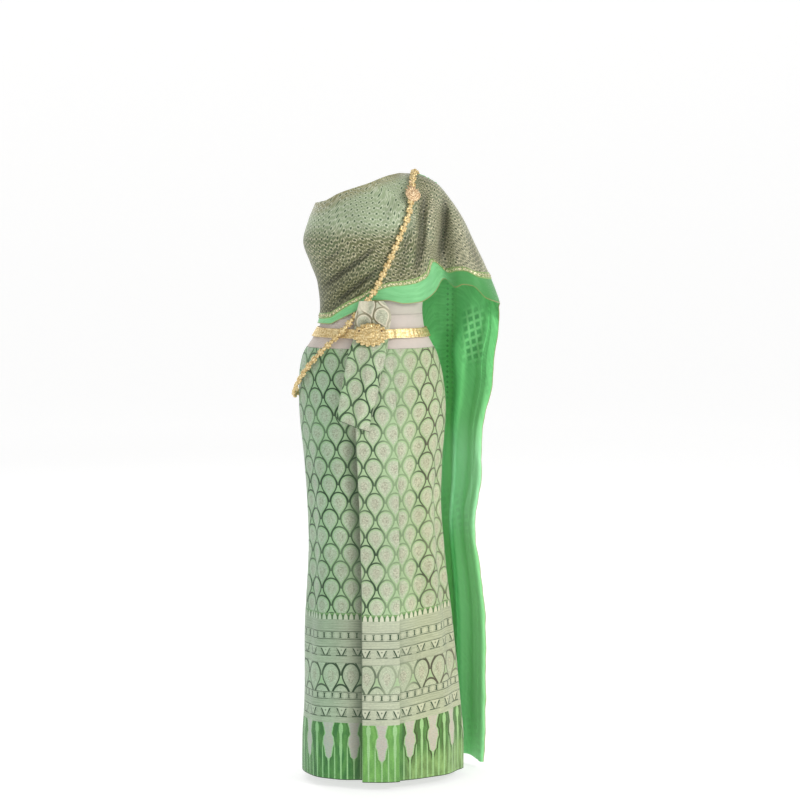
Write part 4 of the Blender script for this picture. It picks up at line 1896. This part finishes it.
def makeBuckle(gold, stone):
    sizes = buckleSizes
    half = sizes["half"]
    low = float(figureSize("front", sizes["height"] - half[1]))
    high = float(figureSize("front", sizes["height"] + half[1]))
    facing = unit(np.array([0.0, -2 * half[1], low - high]))
    depth = (low + high) / 2 + layers["belt"] + beltSizes["overTail"] + sizes["gap"]
    centre = np.array([sizes["x"], -depth, sizes["height"]])
    right, up = plateAxes(facing)

    def spot(rise):
        return centre + facing * rise, right, up, facing

    shape = Shape()
    shape.dome(spot(0), half, sizes["lowPlate"], rays=18, depth=0.20, steps=18 * 8, sharp=0.6)
    middleHalf = (half[0] * 0.74, half[1] * 0.74)
    shape.dome(spot(0.0016), middleHalf, sizes["middlePlate"], rays=14, depth=0.22, steps=14 * 8, turn=0.2)
    topHalf = (half[0] * 0.44, half[1] * 0.50)
    shape.dome(spot(0.0036), topHalf, sizes["topPlate"], rays=8, depth=0.26, steps=8 * 10)
    for share, radius, rise, count in sizes["rings"]:
        angles = [2 * math.pi * (k + 0.5) / count for k in range(count)]
        shape.beads(spot(rise), half, share, radius, angles)
    for lean, reach, width in sizes["leaves"]:
        tip = (half[0] * math.sin(lean) * reach, half[1] * math.cos(lean) * reach)
        shape.leaf(spot(0.0022), (tip[0] * 0.5, tip[1] * 0.5), tip, width, 0.0024)
    shape.ball(centre + facing * 0.0064, 0.0046, (right, up, facing), 0.6, 12, 6)
    mesh = rightedMesh(shape.mesh("buckle_gold", gold))
    addPiece(mesh.name, mesh, ("buckle",))
    gems = Shape()
    for across, level, radius in sizes["stones"]:
        point = centre + right * half[0] * across + up * half[1] * level + facing * 0.0031
        cut = [(share, radius * rise) for share, rise in sizes["stoneCut"]]
        gems.dome((point, right, up, facing), (radius, radius), cut, steps=16)
    mesh = rightedMesh(gems.mesh("buckle_stones", stone))
    addPiece(mesh.name, mesh)


# finishes
skirtCloth = skirtBrocade("skirtBrocade")
skirtBack = skirtBrocade("skirtBrocadeReverse")
tailCloth = skirtBrocade("tailBrocade", border=False)
shawlCloth = shawlBrocade("shawlBrocade")
shawlBack = shawlReverse("shawlReverse")
edgeSatin = satinEdge("edgeSatin")
bandGold = goldWeave("bandGold")
cottonWhite = whiteCotton("cottonWhite")
bodiceCloth = bodiceSatin("bodiceSatin")
brightGold = goldMetal("brightGold", tone(242, 224, 176), tone(190, 158, 96), 0.44)
pinkGold = goldMetal("pinkGold", tone(238, 216, 180), tone(190, 156, 118), 0.44)
darkStone = stoneFinish("darkStone", tone(70, 34, 26))
print("finishes made")

panels = {
    "skirt": makeSkirt(skirtCloth, skirtBack),
    "bodice": makeTube("bodice", bodiceSizes, bodiceCloth, bodiceCreases),
    "waistband": makeTube("waistband", waistbandSizes, cottonWhite, waistbandCreases),
}
shawl = makeShawl(shawlCloth, bandGold, edgeSatin, shawlBack)
print("cloth made")
alongPath = followTree()
makeBelt(brightGold)
tail = makeTail(tailCloth, skirtBack)
makeBuckle(brightGold, darkStone)
print("chain beads:", makeChain(brightGold))
makeBrooch(pinkGold)
print("metal made")
sewing = {
    "skirt": (threadFinish("skirtThread", tone(120, 140, 104)), "skirt_brocade"),
    "bodice": (threadFinish("bodiceThread", tone(176, 196, 176)), "bodice_satin"),
    "waistband": (threadFinish("whiteThread", tone(214, 208, 198)), "white_cotton"),
    "shawl": (threadFinish("goldThread", tone(196, 182, 128)), "shawl_brocade"),
    "sequin": goldMetal("sequinGold", tone(240, 230, 190), tone(204, 186, 132), 0.34),
}
print("seams sewn:", sewDress(panels, tail, shawl, sewing))


# floor, lights and camera
stageSizes = {"floor": -1.0215, "flat": 8.0, "curve": 4.0, "steps": 96, "rings": 16}
lightSettings = {"sky": 0.52, "stageGlow": 0.66, "aim": (0.05, 0.0, -0.2)}
# place, size, power and colour of each lamp
lamps = {
    "keyLight": ((3.3, -2.3, 1.9), 1.3, 84.0, (1.0, 0.985, 0.96)),
    "fillLight": ((-3.4, -2.6, 1.4), 3.5, 16.0, (0.97, 0.99, 1.0)),
    "rimLight": ((-1.6, 3.4, 2.6), 3.5, 75.6, (1.0, 1.0, 1.0)),
    "backLight": ((2.4, 3.2, 1.6), 3.5, 16.0, (1.0, 1.0, 1.0)),
}
cameraSettings = {
    "place": (0.059, -5.5, 0.338), "aim": (0.059, 0.0, -0.162), "frameWidth": 1.800, "sensor": 36.0,
}


def makeStage():
    # a pale bowl: flat under the dress and curving up far away on every side
    sizes = stageSizes
    points = [(0.0, 0.0, sizes["floor"])]
    for ring in range(sizes["rings"] + 1):
        angle = math.pi / 2 * max(0, ring - 1) / (sizes["rings"] - 1)
        reach = sizes["flat"] + sizes["curve"] * math.sin(angle)
        level = sizes["floor"] + sizes["curve"] * (1 - math.cos(angle))
        if ring == 0:
            reach = sizes["flat"] / 2
        for k in range(sizes["steps"]):
            turn = 2 * math.pi * k / sizes["steps"]
            points.append((reach * math.cos(turn), reach * math.sin(turn), level))
    faces = capFaces(sizes["steps"], sizes["rings"] + 1, closed=False)
    finish = bpy.data.materials.new("stagePaint")
    finish.use_nodes = True
    shader = finish.node_tree.nodes["Principled BSDF"]
    shader.inputs["Base Color"].default_value = (0.46, 0.46, 0.457, 1.0)
    shader.inputs["Roughness"].default_value = 0.9
    shader.inputs["Emission Color"].default_value = (1.0, 1.0, 1.0, 1.0)
    shader.inputs["Emission Strength"].default_value = lightSettings["stageGlow"]
    floor = addObject("stage_floor", plainMesh("stage_floor", points, faces, finish))


def aimObject(made, place, aim):
    made.location = place
    made.rotation_euler = (Vector(aim) - Vector(place)).to_track_quat("-Z", "Y").to_euler()


def lightScene():
    world = bpy.data.worlds.new("softSky")
    bpy.context.scene.world = world
    world.use_nodes = True
    sky = world.node_tree.nodes["Background"]
    sky.inputs["Color"].default_value = (1.0, 1.0, 1.0, 1.0)
    sky.inputs["Strength"].default_value = lightSettings["sky"]
    for name, (place, size, power, colour) in lamps.items():
        lamp = bpy.data.lights.new(name, "AREA")
        lamp.shape = "DISK"
        lamp.size = size
        lamp.energy = power
        lamp.color = colour
        aimObject(addObject(name, lamp), place, lightSettings["aim"])


def placeCamera():
    sizes = cameraSettings
    lens = bpy.data.cameras.new("camera")
    place, aim = Vector(sizes["place"]), Vector(sizes["aim"])
    lens.sensor_width = sizes["sensor"]
    lens.lens = sizes["sensor"] * (aim - place).length / sizes["frameWidth"]
    made = addObject("camera", lens)
    aimObject(made, place, aim)
    bpy.context.scene.camera = made


makeStage()
lightScene()
placeCamera()
bpy.context.scene.view_settings.view_transform = "Standard"
print("stage, lights and camera set")
